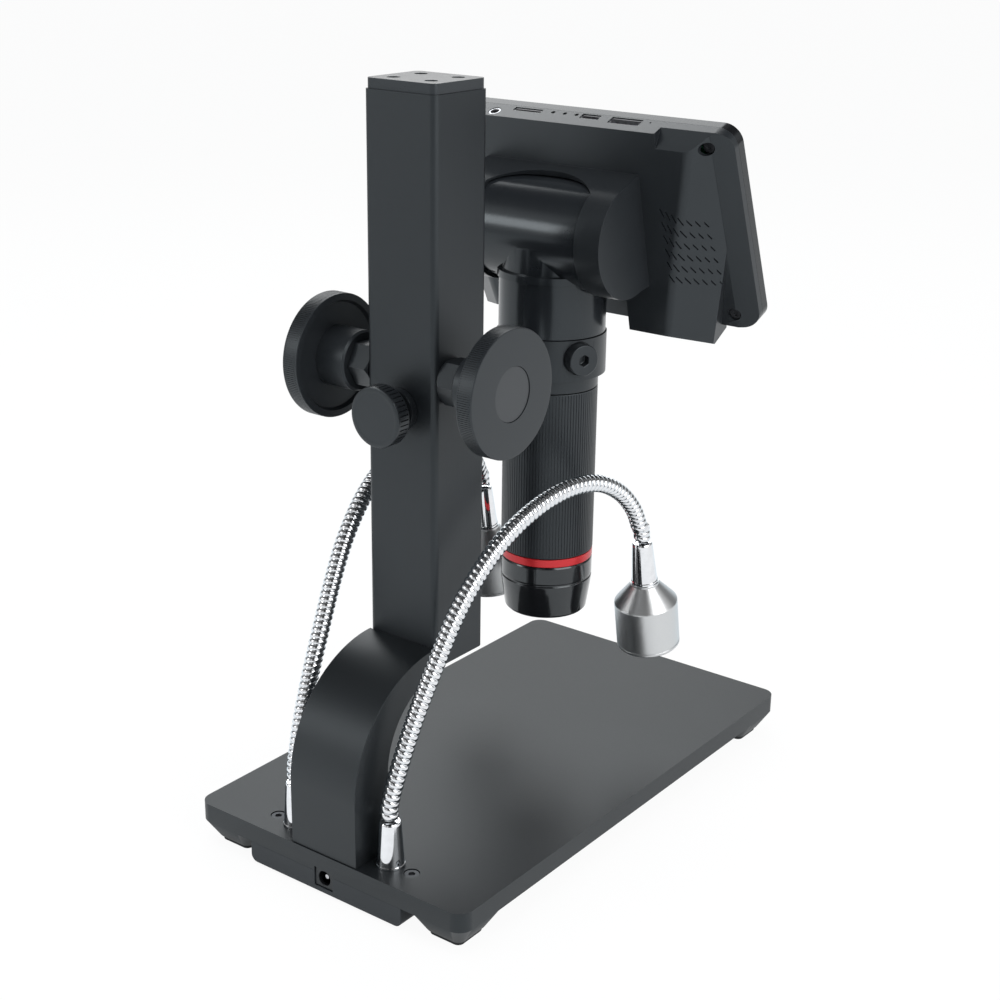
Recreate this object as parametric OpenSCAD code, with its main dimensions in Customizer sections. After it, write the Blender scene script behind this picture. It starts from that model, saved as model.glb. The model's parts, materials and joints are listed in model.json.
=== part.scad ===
// Digital microscope on a stage stand, with a tilting screen and two gooseneck lamps.
// +Z up, screen side towards -Y, column towards +Y. The origin is on the ground
// under the middle of the stage plate.

/* [Stage plate] */
// Width of the stage plate, across the object
stage_w = 135; // [125:1:150]
// Length of the stage plate, front to back
stage_l = 232; // [215:1:250]
// Thickness of the stage plate
stage_t = 8; // [6:0.5:9]
// Height of the stage's top face above the ground
stage_top = 18; // [17:0.5:22]
// Corner radius of the stage plate
stage_r = 6; // [3:0.5:9]
// Side of the square foot under each corner
foot_w = 27; // [20:1:30]
// How far a foot draws in from its top to its bottom
foot_taper = 5; // [2:0.5:6]
// Thickness of the rubber pad under a foot
pad_t = 2; // [1.5:0.5:3]

/* [Lamp supply box] */
// Width of the box under the plate's rear edge
box_w = 77; // [60:1:80]
// Length of the box, front to back
box_l = 60; // [45:1:70]
// Gap between the box and the ground
box_gap = 1.5; // [1:0.5:3]
// Wall of the box
box_wall = 2; // [1.5:0.5:3]
// Width of the square face of the power inlet
jack_w = 9; // [8:0.5:10]
// Height of the square face of the power inlet
jack_h = 8; // [7:0.5:9]
// Hole of the power inlet, for a 5.5 mm plug
jack_bore = 5.9; // [5.7:0.1:6.5]
// Diameter of the inlet's centre pin
jack_pin = 2.1; // [1.9:0.1:2.5]

/* [Column and bracket] */
// Width of the square column
column_w = 32.6; // [29:0.2:34]
// Depth of the square column
column_d = 30; // [28:0.5:32]
// Wall of the column
column_wall = 2.2; // [1.8:0.1:2.6]
// Corner radius of the column
column_r = 2.5; // [2:0.5:4]
// Distance from the plate's middle back to the column's axis
column_y = 53.7; // [50:0.2:58]
// Height of the column's lower end above the stage
column_lift = 65; // [60:1:70]
// Length of the column without its cap
column_l = 215; // [205:0.5:225]
// Thickness of the column's cap
cap_t = 3.8; // [3:0.1:5]
// Thickness of the bracket's upright behind the column
bracket_t = 19; // [16:0.5:22]
// Outer radius of the bracket's curve
bracket_r = 47.5; // [44:0.5:50]
// Inner radius of the bracket's curve
bracket_inner_r = 32; // [28:0.5:34]

/* [Focus drive] */
// Height of the focus shaft above the stage
shaft_h = 177.7; // [170:0.1:186]
// Distance from the column's axis back to the focus shaft
shaft_back = 6.2; // [3:0.1:8]
// Diameter of the focus shaft
shaft_d = 4.4; // [4:0.1:4.6]
// Teeth on the pinion
pinion_teeth = 10; // [10:1:10]
// Tooth size (module) of the rack and the pinion
tooth_module = 0.6; // [0.6:0.1:0.6]
// Diameter of a focus knob
knob_d = 48; // [46:1:56]
// Thickness of a focus knob
knob_t = 7; // [6:0.5:9]
// Distance between the outer faces of the two focus knobs
knob_span = 89.4; // [86:0.2:96]
// Number of ribs round a focus knob
knob_ribs = 90; // [60:2:110]
// Diameter of the lock knob behind the column
lock_d = 23; // [20:0.5:26]
// Thickness of the lock knob
lock_t = 6.5; // [5:0.5:8]
// Height of the lock knob's axis above the stage
lock_h = 165.8; // [160:0.1:167]
// Travel of the carriage each way that its slot leaves room for
focus_travel = 40; // [30:1:43]

/* [Microscope] */
// Distance from the plate's middle forward to the barrel's axis
scope_y = 26.5; // [24:0.5:30]
// Height of the barrel's lower end above the stage
nose_h = 56.6; // [52:0.2:62]
// Diameter of the focus grip
grip_d = 38.8; // [36:0.2:40]
// Length of the focus grip
grip_l = 70.9; // [64:0.1:74]
// Diameter of the neck above the holder
neck_d = 43.6; // [42:0.2:46]
// Length of the neck above the holder, up to the head
neck_l = 21.9; // [20:0.1:25]
// Outer diameter of the holder's collar
collar_d = 44.6; // [43:0.2:47]
// Height of the holder's collar
collar_h = 16.7; // [14:0.1:18]
// Height of the red ring
ring_h = 3.4; // [2.5:0.1:5]
// Height of the head's pivot above the top of the neck
pivot_h = 17.6; // [16.5:0.1:19]

/* [Screen] */
// Width of the screen housing
screen_w = 150; // [140:1:160]
// Height of the screen housing along its face
screen_h = 86; // [82:1:92]
// Thickness of the housing at its edge
screen_edge = 9.4; // [9:0.1:12]
// Lean of the screen back from upright, in degrees
screen_lean = 22; // [18:1:24]
// Distance from the screen's face back to its pivot
pivot_depth = 29; // [28:0.5:32]
// Distance from the screen's top edge down to its pivot
pivot_drop = 39.5; // [38:0.1:44]
// Thickness of the front frame
bezel_t = 4; // [3:0.1:4.6]
// Width of the window in the front frame
window_w = 112; // [105:1:118]
// Height of the window in the front frame
window_h = 64; // [58:1:65]
// Diameter of the round lugs that carry the screen
lug_d = 45; // [44:0.5:47]
// Thickness of a lug
lug_t = 11.5; // [9:0.1:13]
// Diameter of a push button
button_d = 7; // [6:0.1:8]

/* [Gooseneck lamps] */
// Distance from the middle out to a lamp's socket
socket_x = 23.9; // [23.5:0.1:26]
// Distance from the plate's rear edge in to a lamp's socket
socket_in = 11.6; // [10:0.1:14]
// Length of a socket, and of the like sleeve on the lamp
socket_l = 18.6; // [16:0.1:20]
// Diameter of the flexible tube over its ribs
hose_d = 7; // [6.4:0.1:7.4]
// Bore of the flexible tube
hose_bore = 4; // [3:0.1:4.6]
// Spacing of the tube's ribs
rib_pitch = 2.4; // [2.2:0.1:3.2]
// Depth of the groove between two ribs
rib_depth = 0.45; // [0.3:0.05:0.6]
// Diameter of a lamp's head
lamp_d = 26.6; // [22:0.2:28]
// Length of the straight part of a lamp's head
lamp_l = 20.5; // [16:0.5:24]
// Length of the cone behind it
lamp_cone_l = 9.5; // [8:0.5:12]
// Wall of a lamp's head
lamp_wall = 1.6; // [1.2:0.1:2.2]

/* [Fits] */
// Gap all round a shaft that turns in its hole
running_gap = 0.05; // [0.02:0.01:0.1]
// Gap between a moving piece and what it passes
moving_gap = 0.3; // [0.2:0.05:0.4]

/* [Hidden] */
$fn = 64;
left = -1;
right = 1;
eps = 0.01;

stage_under = stage_top - stage_t;
stage_rear = stage_l / 2;
socket_y = stage_rear - socket_in;
seat_gap = 0.05;

column_rear = column_y + column_d / 2;
column_front = column_y - column_d / 2;
column_bottom = stage_top + column_lift;
column_top = column_bottom + column_l;
bracket_rear = stage_rear - 0.5;
bracket_curve_y = bracket_rear - bracket_r;
bracket_curve_z = column_bottom + 8.5 - bracket_r;
bracket_inner_y = bracket_rear - bracket_t - bracket_inner_r;
bracket_inner_z = column_bottom - 1 - bracket_inner_r;

pitch_r = pinion_teeth * tooth_module / 2;
tip_r = pitch_r + tooth_module;
shaft_y = column_y + shaft_back;
shaft_z = stage_top + shaft_h;
rack_pitch_y = shaft_y - pitch_r;
rack_root_y = rack_pitch_y - tooth_module * 1.3;
rack_back_y = rack_root_y - 3.6;
rack_w = 10;
tooth_pitch = PI * tooth_module;
slider_half_l = 40;
slider_w = column_w - 2 * column_wall - 2 * moving_gap;
slider_front = column_front + column_wall + moving_gap;
slot_w = 12;
bush_neck_d = 8;
bush_hex = 16;
bush_hex_l = 9;
bush_chamfer = 1.6;
bush_end = column_w / 2 + bush_hex_l;
lock_z = stage_top + lock_h;
stud_d = 6;
lock_bush_d = 16;
lock_bush_t = 3;
lock_face_y = column_rear + 14.5;

nose_z = stage_top + nose_h;
nose_l = 23.6;
red_z = nose_z + nose_l + 0.2;
grip_z = red_z + ring_h + 0.3;
grip_top = grip_z + grip_l;
keeper_z = grip_top + moving_gap;
keeper_h = 5.6;
collar_z = keeper_z + keeper_h + moving_gap;
neck_z = collar_z + collar_h + moving_gap;
neck_top = neck_z + neck_l;
pivot_z = neck_top + pivot_h;
barrel_r = grip_d / 2 - 3.5;
spigot_r = collar_d / 2 - 3.3;
lip_h = 3;
head_w = 49.2;
head_r = 21;
head_front_r = 19.8;
head_front_y = -8.5;
neck_stop = 4;
pin_d = 8;
clamp_z = collar_z + collar_h / 2 + 1;
clamp_turn = 25;
clamp_r = 2;
clamp_head_r = 6.4;
clamp_head_h = 5;
clamp_face = 26.5;
arm_w = 14;
arm_z = collar_z + 1.5;
arm_h = collar_h - 3;

face = -pivot_depth;
edge_rear = face + screen_edge;
screen_top = pivot_drop;
screen_bottom = pivot_drop - screen_h;
cover_wall = 2.2;
bulge_w = 133;
bulge_rear_w = 82;
bulge_foot_w = 114;
bulge_taper_z = -10;
bulge_depth = 26;
bulge_top = 13.5;
shoulder_x = 45;
shoulder_drop = 5.9;
bulge_foot = 6.4;
recess_r = 21.5;
recess_y = edge_rear - 0.7;
shelf_z = lug_d / 2;
scoop_r = 32;
scoop_y = -8;
lug_in = head_w / 2 + moving_gap;
window_z = screen_top - 8.2 - window_h / 2;
panel_w = window_w + 8;
panel_h = window_h + 7;
button_z = screen_bottom + 6;
button_pitch = 17;
button_travel = 0.8;
board_y = face + 6.4;

// Route of the left tube's middle, from the top of its socket to its lamp; the
// right one's has its own bends. Each is in the object's frame, for x beyond 0.
route_left = [
    [0, 0, 0], [0.2, -1.2, 9], [0.8, -5.4, 22], [2, -13, 39], [3.4, -23, 57], [4.4, -32, 71.5],
    [5.6, -42.5, 84], [7, -55, 94.5], [8.6, -69, 102], [10.4, -84, 106.6], [12.4, -99, 108],
    [14.3, -113, 105.4], [15.9, -125, 98.6], [17, -133.6, 89.4], [17.6, -138, 80.4], [17.9, -140, 73.4]
];
route_right = [
    [0, 0, 0], [0.1, -0.8, 9], [0.6, -3.8, 22], [1.7, -10.4, 39], [3, -19, 57], [4, -27.2, 74],
    [5.2, -37, 90], [6.8, -50.5, 103.5], [8.8, -67, 112], [10.8, -84, 114.6], [12.8, -101, 112.4],
    [14.8, -116.4, 106.6], [16.4, -128, 99], [17.3, -135.2, 91], [17.7, -138.6, 84.4], [17.9, -140, 79]
];
lamp_tilt_left = 10;
lamp_tilt_right = 8;
socket_top = stage_top + socket_l;
ring_sides = 8;
steps = 12;

// ---------- shared shapes ----------

module rounded_rect(w, l, r) {
    square([w - 2 * r, l], center = true);
    square([w, l - 2 * r], center = true);
    for (x = [left, right], y = [left, right])
        translate([x * (w / 2 - r), y * (l / 2 - r)]) circle(r = r);
}

module disc(r, z0, z1) {
    translate([0, 0, z0]) cylinder(r = r, h = z1 - z0);
}

module along_x(x0, x1) {
    translate([x0, 0, 0]) rotate([90, 0, 90]) linear_extrude(x1 - x0) children();
}

// A cylinder along X from x0 to x1, at the given y and z.
module rod_x(r, x0, x1, y = 0, z = 0) {
    translate([x0, y, z]) rotate([0, 90, 0]) cylinder(r = r, h = x1 - x0);
}

// A cylinder along Y from y0 to y1, at the given x and z.
module rod_y(r, y0, y1, x = 0, z = 0) {
    translate([x, y1, z]) rotate([90, 0, 0]) cylinder(r = r, h = y1 - y0);
}

module block(x0, x1, y0, y1, z0, z1) {
    translate([x0, y0, z0]) cube([x1 - x0, y1 - y0, z1 - z0]);
}

// Outline of a knurled disc with straight ribs.
module ribbed_disc(r, ribs, depth) {
    step = 360 / ribs;
    polygon([for (i = [0 : ribs - 1], k = [0, 0.3, 0.5, 0.8])
        let (a = (i + k) * step, q = k < 0.4 ? r : r - depth) [q * cos(a), q * sin(a)]]);
}

// A round head with a hexagonal socket, its face at z = 0 and its shank below.
module socket_screw(head_r, head_h, shank_r, shank_l, key_r) {
    difference() {
        union() {
            disc(head_r, -head_h, 0);
            disc(shank_r, -head_h - shank_l, -head_h + eps);
        }
        translate([0, 0, -head_h * 0.6]) cylinder(r = key_r, h = head_h, $fn = 6);
    }
}

// ---------- base ----------

module feet_at() {
    for (x = [left, right], y = [left, right])
        translate([x * (stage_w / 2 - foot_w / 2), y * (stage_l / 2 - foot_w / 2), 0]) children();
}

module foot_shape() {
    hull() {
        translate([0, 0, stage_under]) linear_extrude(eps) rounded_rect(foot_w, foot_w, stage_r, $fn = 32);
        translate([0, 0, pad_t])
            linear_extrude(eps) rounded_rect(foot_w - 2 * foot_taper, foot_w - 2 * foot_taper, 3, $fn = 32);
    }
}

plate_screw_x = 34.3;
plate_screw_r = 1.5;
bracket_bolt_x = 9.5;
bracket_bolt_r = 2.5;
bracket_bolt_y = bracket_rear - bracket_t / 2;
hose_way_r = 2;

module stage_plate() color([0.2, 0.21, 0.23]) {
    difference() {
        union() {
            translate([0, 0, stage_under]) linear_extrude(stage_t) rounded_rect(stage_w, stage_l, stage_r);
            feet_at() foot_shape();
        }
        for (x = [left, right]) {
            translate([x * plate_screw_x, socket_y, 0]) {
                disc(plate_screw_r + running_gap, 0, stage_top + 1);
                disc(3.1, stage_top - 1.6, stage_top + 1);
            }
            translate([x * socket_x, socket_y, 0]) disc(hose_way_r, 0, stage_top + 1);
            translate([x * bracket_bolt_x, bracket_bolt_y, 0]) disc(bracket_bolt_r + running_gap, 0, stage_top + 1);
        }
        block(-jack_w / 2 - seat_gap, jack_w / 2 + seat_gap, stage_rear - 13 - seat_gap, stage_rear + 1,
            stage_under - 1, jack_z + jack_h / 2 + seat_gap);
    }
}

module foot_pads() color([0.05, 0.05, 0.05])
    feet_at() linear_extrude(pad_t) rounded_rect(foot_w - 2 * foot_taper - 2, foot_w - 2 * foot_taper - 2, 2.5);

jack_z = box_gap + box_wall + jack_h / 2 + 0.2;
box_front = stage_rear - box_l;
box_corner = 3;
box_post_x = plate_screw_x;

module box_section(w, z0) {
    translate([-w / 2, z0 + box_corner]) square([w, stage_under - z0 - box_corner]);
    translate([-w / 2 + box_corner, z0]) square([w - 2 * box_corner, stage_under - z0]);
    for (x = [left, right]) translate([x * (w / 2 - box_corner), z0 + box_corner]) circle(r = box_corner);
}

module supply_box() color([0.17, 0.18, 0.2]) {
    difference() {
        union() {
            difference() {
                translate([0, stage_rear, 0]) rotate([90, 0, 0]) linear_extrude(box_l) box_section(box_w, box_gap);
                block(-box_w / 2 + box_wall + 1, box_w / 2 - box_wall - 1, box_front + box_wall,
                    stage_rear - box_wall, box_gap + box_wall, stage_under + 1);
            }
            for (x = [left, right])
                translate([x * box_post_x, socket_y, 0]) disc(box_post_r, box_gap + box_wall - eps, stage_under);
        }
        block(-jack_w / 2 - seat_gap, jack_w / 2 + seat_gap, stage_rear - box_wall - 1, stage_rear + 1,
            jack_z - jack_h / 2 - seat_gap, stage_under + 1);
        for (x = [left, right])
            translate([x * box_post_x, socket_y, 0]) disc(plate_screw_r + running_gap, box_gap + box_wall, stage_under + 1);
    }
}

module base_screws() color([0.35, 0.36, 0.38])
    for (x = [left, right]) translate([x * plate_screw_x, socket_y, stage_top - 0.3])
        socket_screw(2.9, 1.2, plate_screw_r, stage_t + 2, 1.4);

module dc_jack() color([0.08, 0.08, 0.09]) {
    difference() {
        block(-jack_w / 2, jack_w / 2, stage_rear - 13, stage_rear - 0.6, jack_z - jack_h / 2, jack_z + jack_h / 2);
        rod_y(jack_bore / 2, stage_rear - 10.5, stage_rear, 0, jack_z);
        rod_y(jack_pin / 2, stage_rear - 14, stage_rear - 10, 0, jack_z);
    }
}

module dc_pin() color([0.75, 0.75, 0.75])
    rod_y(jack_pin / 2, stage_rear - 13, stage_rear - 2, 0, jack_z);

driver_half_w = 30;
driver_t = 1.6;
driver_part = 8;
driver_part_h = 2.2;
box_post_r = 3.4;

module lamp_driver() color([0.1, 0.35, 0.2]) {
    board_z = box_gap + box_wall;
    part_y = box_front + box_l * 0.27;
    difference() {
        block(-driver_half_w, driver_half_w, box_front + box_wall + 4, stage_rear - 15, board_z, board_z + driver_t);
        for (x = [left, right]) translate([x * box_post_x, socket_y, 0])
            disc(box_post_r + 1, board_z - 1, board_z + driver_t + 1);
    }
    for (x = [-20, -6, 10]) block(x, x + driver_part, part_y, part_y + driver_part,
        board_z + driver_t, board_z + driver_t + driver_part_h);
}

// ---------- bracket and column ----------

module bracket_outline() {
    difference() {
        union() {
            translate([column_rear, stage_top]) square([bracket_rear - column_rear, bracket_curve_z - stage_top]);
            intersection() {
                translate([bracket_curve_y, bracket_curve_z]) circle(r = bracket_r, $fn = 128);
                translate([column_rear, bracket_curve_z - eps]) square([bracket_rear, bracket_r + 1]);
            }
        }
        translate([bracket_inner_y, bracket_inner_z]) circle(r = bracket_inner_r, $fn = 128);
        translate([column_rear - 1, stage_top - 1])
            square([bracket_inner_y + bracket_inner_r - column_rear + 1, bracket_inner_z - stage_top + 1]);
    }
}

module bracket() color([0.2, 0.21, 0.23]) {
    difference() {
        along_x(-column_w / 2, column_w / 2) bracket_outline();
        for (x = [left, right])
            translate([x * bracket_bolt_x, bracket_bolt_y, 0]) disc(bracket_bolt_r, stage_top - 1, stage_top + 14);
        for (x = [left, right])
            rod_y(plug_bolt_r, column_rear - 1, column_rear + 9, x * plug_bolt_x, plug_bolt_z);
    }
}

plug_bolt_r = 1.6;
plug_bolt_x = 6;
plug_head_r = 2.8;
plug_head_h = 2.4;
plug_bolt_z = column_bottom + 4;

module bracket_bolts() color([0.35, 0.36, 0.38]) {
    for (x = [left, right]) translate([x * bracket_bolt_x, bracket_bolt_y, stage_under - 4.2])
        rotate([180, 0, 0]) socket_screw(4.2, 4.2, bracket_bolt_r - seat_gap, stage_t + 12, 2);
    for (x = [left, right]) translate([x * plug_bolt_x, column_rear - column_wall - plug_l, plug_bolt_z])
        rotate([90, 0, 0]) socket_screw(plug_head_r, plug_head_h, plug_bolt_r - seat_gap,
            column_wall + plug_l + 6, 1.3);
}

plug_l = 8;

module column() color([0.19, 0.2, 0.22]) {
    difference() {
        translate([0, column_y, column_bottom]) linear_extrude(column_l) difference() {
            rounded_rect(column_w, column_d, column_r);
            square([column_w - 2 * column_wall, column_d - 2 * column_wall], center = true);
        }
        block(-slot_w / 2, slot_w / 2, column_front - 1, column_front + column_wall + 1,
            arm_z - focus_travel - 2, arm_z + arm_h + focus_travel + 2);
        rod_x(bush_neck_d / 2 + seat_gap, -column_w, column_w, shaft_y, shaft_z);
        rod_y(stud_d / 2 + 1.2, column_rear - column_wall - 1, column_rear + 1, 0, lock_z);
        for (x = [left, right])
            rod_y(plug_bolt_r, column_rear - column_wall - 1, column_rear + 1, x * plug_bolt_x, plug_bolt_z);
    }
}

module column_plug() color([0.25, 0.26, 0.28]) {
    plug_rear = column_rear - column_wall - seat_gap;
    difference() {
        block(-column_w / 2 + column_wall + 0.1, column_w / 2 - column_wall - 0.1,
            plug_rear - plug_l, plug_rear, column_bottom, column_bottom + 14);
        for (x = [left, right]) {
            rod_y(plug_bolt_r, plug_rear - plug_l - 1, plug_rear + 1, x * plug_bolt_x, plug_bolt_z);
            rod_y(plug_head_r + 0.1, plug_rear - plug_l - 1, plug_rear - plug_l + plug_head_h + 0.1,
                x * plug_bolt_x, plug_bolt_z);
        }
    }
}

cap_screw_x = 8.5;
cap_screw_y = 7.5;

module column_cap() color([0.17, 0.18, 0.2]) {
    difference() {
        translate([0, column_y, column_top]) {
            linear_extrude(cap_t) rounded_rect(column_w - 1, column_d - 1, column_r);
            translate([0, 0, -5]) linear_extrude(5 + eps)
                square([column_w - 2 * column_wall - 0.3, column_d - 2 * column_wall - 0.3], center = true);
        }
        for (x = [left, right], y = [left, right])
            translate([x * cap_screw_x, column_y + y * cap_screw_y, column_top]) {
                disc(1.3, -6, cap_t + 1);
                disc(2.4, cap_t - 1.8, cap_t + 1);
            }
    }
}

module cap_screws() color([0.3, 0.31, 0.33])
    for (x = [left, right], y = [left, right])
        translate([x * cap_screw_x, column_y + y * cap_screw_y, column_top + cap_t - 0.4])
            socket_screw(2.3, 1.4, 1.2, 5, 1.1);

// ---------- focus drive ----------

module shaft_bush(side) color([0.14, 0.15, 0.16]) scale([side, 1, 1]) difference() {
    union() {
        translate([column_w / 2, shaft_y, shaft_z]) rotate([0, 90, 0]) intersection() {
            rotate([0, 0, 30]) cylinder(d = bush_hex / cos(30), h = bush_hex_l, $fn = 6);
            rotate_extrude() polygon([[0, 0], [bush_hex / 2, 0], [bush_hex / 2 + bush_chamfer, bush_chamfer],
                [bush_hex / 2 + bush_chamfer, bush_hex_l], [0, bush_hex_l]]);
        }
        rod_x(bush_neck_d / 2, column_w / 2 - column_wall, column_w / 2 + 1, shaft_y, shaft_z);
    }
    rod_x(shaft_d / 2 + running_gap, 0, bush_end + 1, shaft_y, shaft_z);
}

module shaft_bush_left() shaft_bush(left);
module shaft_bush_right() shaft_bush(right);

// Tooth gaps as straight-sided notches; the teeth leave play on both sides.
tooth_root_r = pitch_r - tooth_module * 1.25;
tooth_half = tooth_pitch / 4 - 0.1;

module pinion_outline() {
    circle(r = tooth_root_r);
    for (i = [0 : pinion_teeth - 1]) rotate(i * 360 / pinion_teeth)
        polygon([[0, -tooth_half * 1.25], [tooth_root_r, -tooth_half * 1.25], [pitch_r, -tooth_half],
            [tip_r, -tooth_half * 0.35], [tip_r, tooth_half * 0.35], [pitch_r, tooth_half],
            [tooth_root_r, tooth_half * 1.25], [0, tooth_half * 1.25]]);
}

pinion_l = 12;
shaft_end = knob_span / 2 - 2.5;

module pinion_shaft() color([0.7, 0.7, 0.72]) {
    translate([-pinion_l / 2, shaft_y, shaft_z]) rotate([90, 0, 90]) linear_extrude(pinion_l)
        rotate(180) pinion_outline();
    for (side = [left, right])
        rod_x(shaft_d / 2, side > 0 ? pinion_l / 2 - eps : -shaft_end, side > 0 ? shaft_end : -pinion_l / 2 + eps,
            shaft_y, shaft_z);
}

knob_hub_r = 11.7;
inlay_r = 10.2;
inlay_depth = 0.7;

module focus_knob(side) color([0.13, 0.14, 0.15])
    translate([0, shaft_y, shaft_z]) scale([side, 1, 1]) difference() {
        union() {
            translate([knob_span / 2 - knob_t, 0, 0]) rotate([90, 0, 90]) linear_extrude(knob_t)
                ribbed_disc(knob_d / 2, knob_ribs, 0.5);
            rod_x(knob_hub_r, bush_end + moving_gap, knob_span / 2 - knob_t + eps);
        }
        rod_x(shaft_d / 2 + seat_gap, 0, shaft_end + seat_gap);
        rod_x(inlay_r + seat_gap, knob_span / 2 - inlay_depth, knob_span / 2 + 1);
    }

module focus_knob_left() focus_knob(left);
module focus_knob_right() focus_knob(right);

module knob_inlays() color([0.3, 0.31, 0.33]) translate([0, shaft_y, shaft_z])
    for (side = [left, right]) scale([side, 1, 1])
        rod_x(inlay_r, knob_span / 2 - inlay_depth, knob_span / 2 - 0.3);

module lock_bush() color([0.14, 0.15, 0.16]) difference() {
    union() {
        rod_y(lock_bush_d / 2, column_rear, column_rear + lock_bush_t, 0, lock_z);
        rod_y(stud_d / 2 + 1.15, column_rear - column_wall, column_rear + eps, 0, lock_z);
    }
    rod_y(stud_d / 2 + running_gap, column_rear - column_wall - 1, column_rear + lock_bush_t + 1, 0, lock_z);
}

lock_hub_r = 7;

module lock_knob() color([0.13, 0.14, 0.15]) difference() {
    union() {
        translate([0, lock_face_y, lock_z]) rotate([90, 0, 0]) linear_extrude(lock_t)
            ribbed_disc(lock_d / 2, 40, 0.7);
        rod_y(lock_hub_r, column_rear + lock_bush_t + moving_gap, lock_face_y - lock_t + eps, 0, lock_z);
    }
    rod_y(stud_d / 2 + seat_gap, column_rear, lock_face_y - 1.5, 0, lock_z);
}

module lock_stud() color([0.6, 0.6, 0.62])
    rod_y(stud_d / 2, rack_pitch_y + tooth_module + moving_gap, lock_face_y - 1.6, 0, lock_z);

// ---------- carriage ----------

module slider() color([0.3, 0.31, 0.33])
    block(-slider_w / 2, slider_w / 2, slider_front, rack_back_y, shaft_z - slider_half_l, shaft_z + slider_half_l);

module rack_outline() {
    teeth = 2 * floor((focus_travel + 4) / tooth_pitch);
    polygon(concat(
        [[rack_back_y, -teeth / 2 * tooth_pitch]],
        [for (i = [-teeth / 2 : teeth / 2 - 1], p = [0, 1, 2, 3])
            let (middle = (i + 0.5) * tooth_pitch,
                 top_half = tooth_half - tooth_module * tan(20), foot_half = tooth_half + tooth_module * 1.3 * tan(20))
            p == 0 ? [rack_root_y, middle - foot_half] : p == 1 ? [rack_pitch_y + tooth_module, middle - top_half]
                : p == 2 ? [rack_pitch_y + tooth_module, middle + top_half] : [rack_root_y, middle + foot_half]],
        [[rack_back_y, teeth / 2 * tooth_pitch]]));
}

module rack() color([0.55, 0.56, 0.58])
    translate([0, 0, shaft_z]) along_x(-rack_w / 2, rack_w / 2) rack_outline();

module holder_arm() color([0.16, 0.17, 0.19]) difference() {
    union() {
        translate([0, -scope_y, 0]) disc(collar_d / 2, collar_z, collar_z + collar_h);
        block(-arm_w / 2, arm_w / 2, -scope_y, column_front - moving_gap, arm_z, arm_z + arm_h);
        block(-slot_w / 2 + moving_gap, slot_w / 2 - moving_gap, -scope_y, slider_front, arm_z, arm_z + arm_h);
    }
    translate([0, -scope_y, 0]) disc(spigot_r + running_gap, collar_z - 1, collar_z + collar_h + 1);
    at_clamp() disc(clamp_r + running_gap, -collar_d / 2, 0);
    at_clamp() disc(clamp_head_r + 0.4, -clamp_head_h - 0.2, clamp_head_h);
}

// The clamp screw's own frame: its face at the origin, its shank towards -Z and the barrel.
module at_clamp() translate([0, -scope_y, clamp_z]) rotate([0, 0, -clamp_turn]) translate([-clamp_face, 0, 0])
    rotate([0, -90, 0]) children();

module clamp_screw() color([0.1, 0.1, 0.11])
    at_clamp() socket_screw(clamp_head_r, clamp_head_h, clamp_r, clamp_shank, 2.3);

clamp_shank = clamp_face - clamp_head_h - spigot_r - moving_gap;

// ---------- microscope ----------

// A round neck that meets a drum lying across it; the drum's front clears the screen.
module head_housing() color([0.15, 0.16, 0.18]) translate([0, -scope_y, 0]) difference() {
    union() {
        disc(neck_d / 2, neck_z, neck_top);
        disc(spigot_r, keeper_z + keeper_h, neck_z + eps);
        disc(neck_d / 2 + 0.8, neck_top - eps, neck_top + lip_h);
        disc(head_r, neck_top, pivot_z - neck_stop);
        rod_x(head_front_r, -head_w / 2, head_w / 2, 0, pivot_z);
        intersection() {
            rod_x(head_r, -head_w / 2, head_w / 2, 0, pivot_z);
            block(-head_w, head_w, head_front_y, head_r + 1, pivot_z - head_r - 1, pivot_z + head_r + 1);
        }
    }
    disc(barrel_r + seat_gap, collar_z - 10, neck_top + 4);
    rod_x(pin_d / 2 + running_gap, -head_w, head_w, 0, pivot_z);
}

module pivot_pin() color([0.7, 0.7, 0.72]) translate([0, -scope_y, 0])
    rod_x(pin_d / 2, -lug_in - lug_t + 1.5, lug_in + lug_t - 1.5, 0, pivot_z);

module retaining_ring() color([0.15, 0.16, 0.18]) translate([0, -scope_y, 0]) difference() {
    disc(grip_d / 2, keeper_z, keeper_z + keeper_h);
    disc(barrel_r + seat_gap, keeper_z - 1, keeper_z + keeper_h + 1);
}

barrel_bottom = nose_z + 8;
lens_hole_r = 11;

module lens_barrel() color([0.12, 0.12, 0.13]) translate([0, -scope_y, 0]) difference() {
    disc(barrel_r, barrel_bottom, neck_top + 2);
    disc(barrel_r - 2, barrel_bottom - 1, nose_z + 38);
    disc(lens_hole_r, nose_z + 37, nose_z + 52);
    disc(barrel_r - 2, nose_z + 51, neck_top + 3);
}

module objective_lens() color([0.75, 0.85, 0.9, 0.5]) translate([0, -scope_y, 0])
    disc(lens_hole_r - seat_gap, nose_z + 40, nose_z + 46);

module imaging_board() color([0.1, 0.35, 0.2]) translate([0, -scope_y, 0]) {
    disc(barrel_r - 2 - seat_gap, neck_z, neck_z + 1.6);
    block(-6, 6, -6, 6, neck_z - 2.2, neck_z);
}

module red_ring() color([0.85, 0.16, 0.16]) translate([0, -scope_y, 0]) difference() {
    disc(grip_d / 2 - 0.1, red_z, red_z + ring_h);
    disc(barrel_r + seat_gap, red_z - 1, red_z + ring_h + 1);
}

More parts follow.
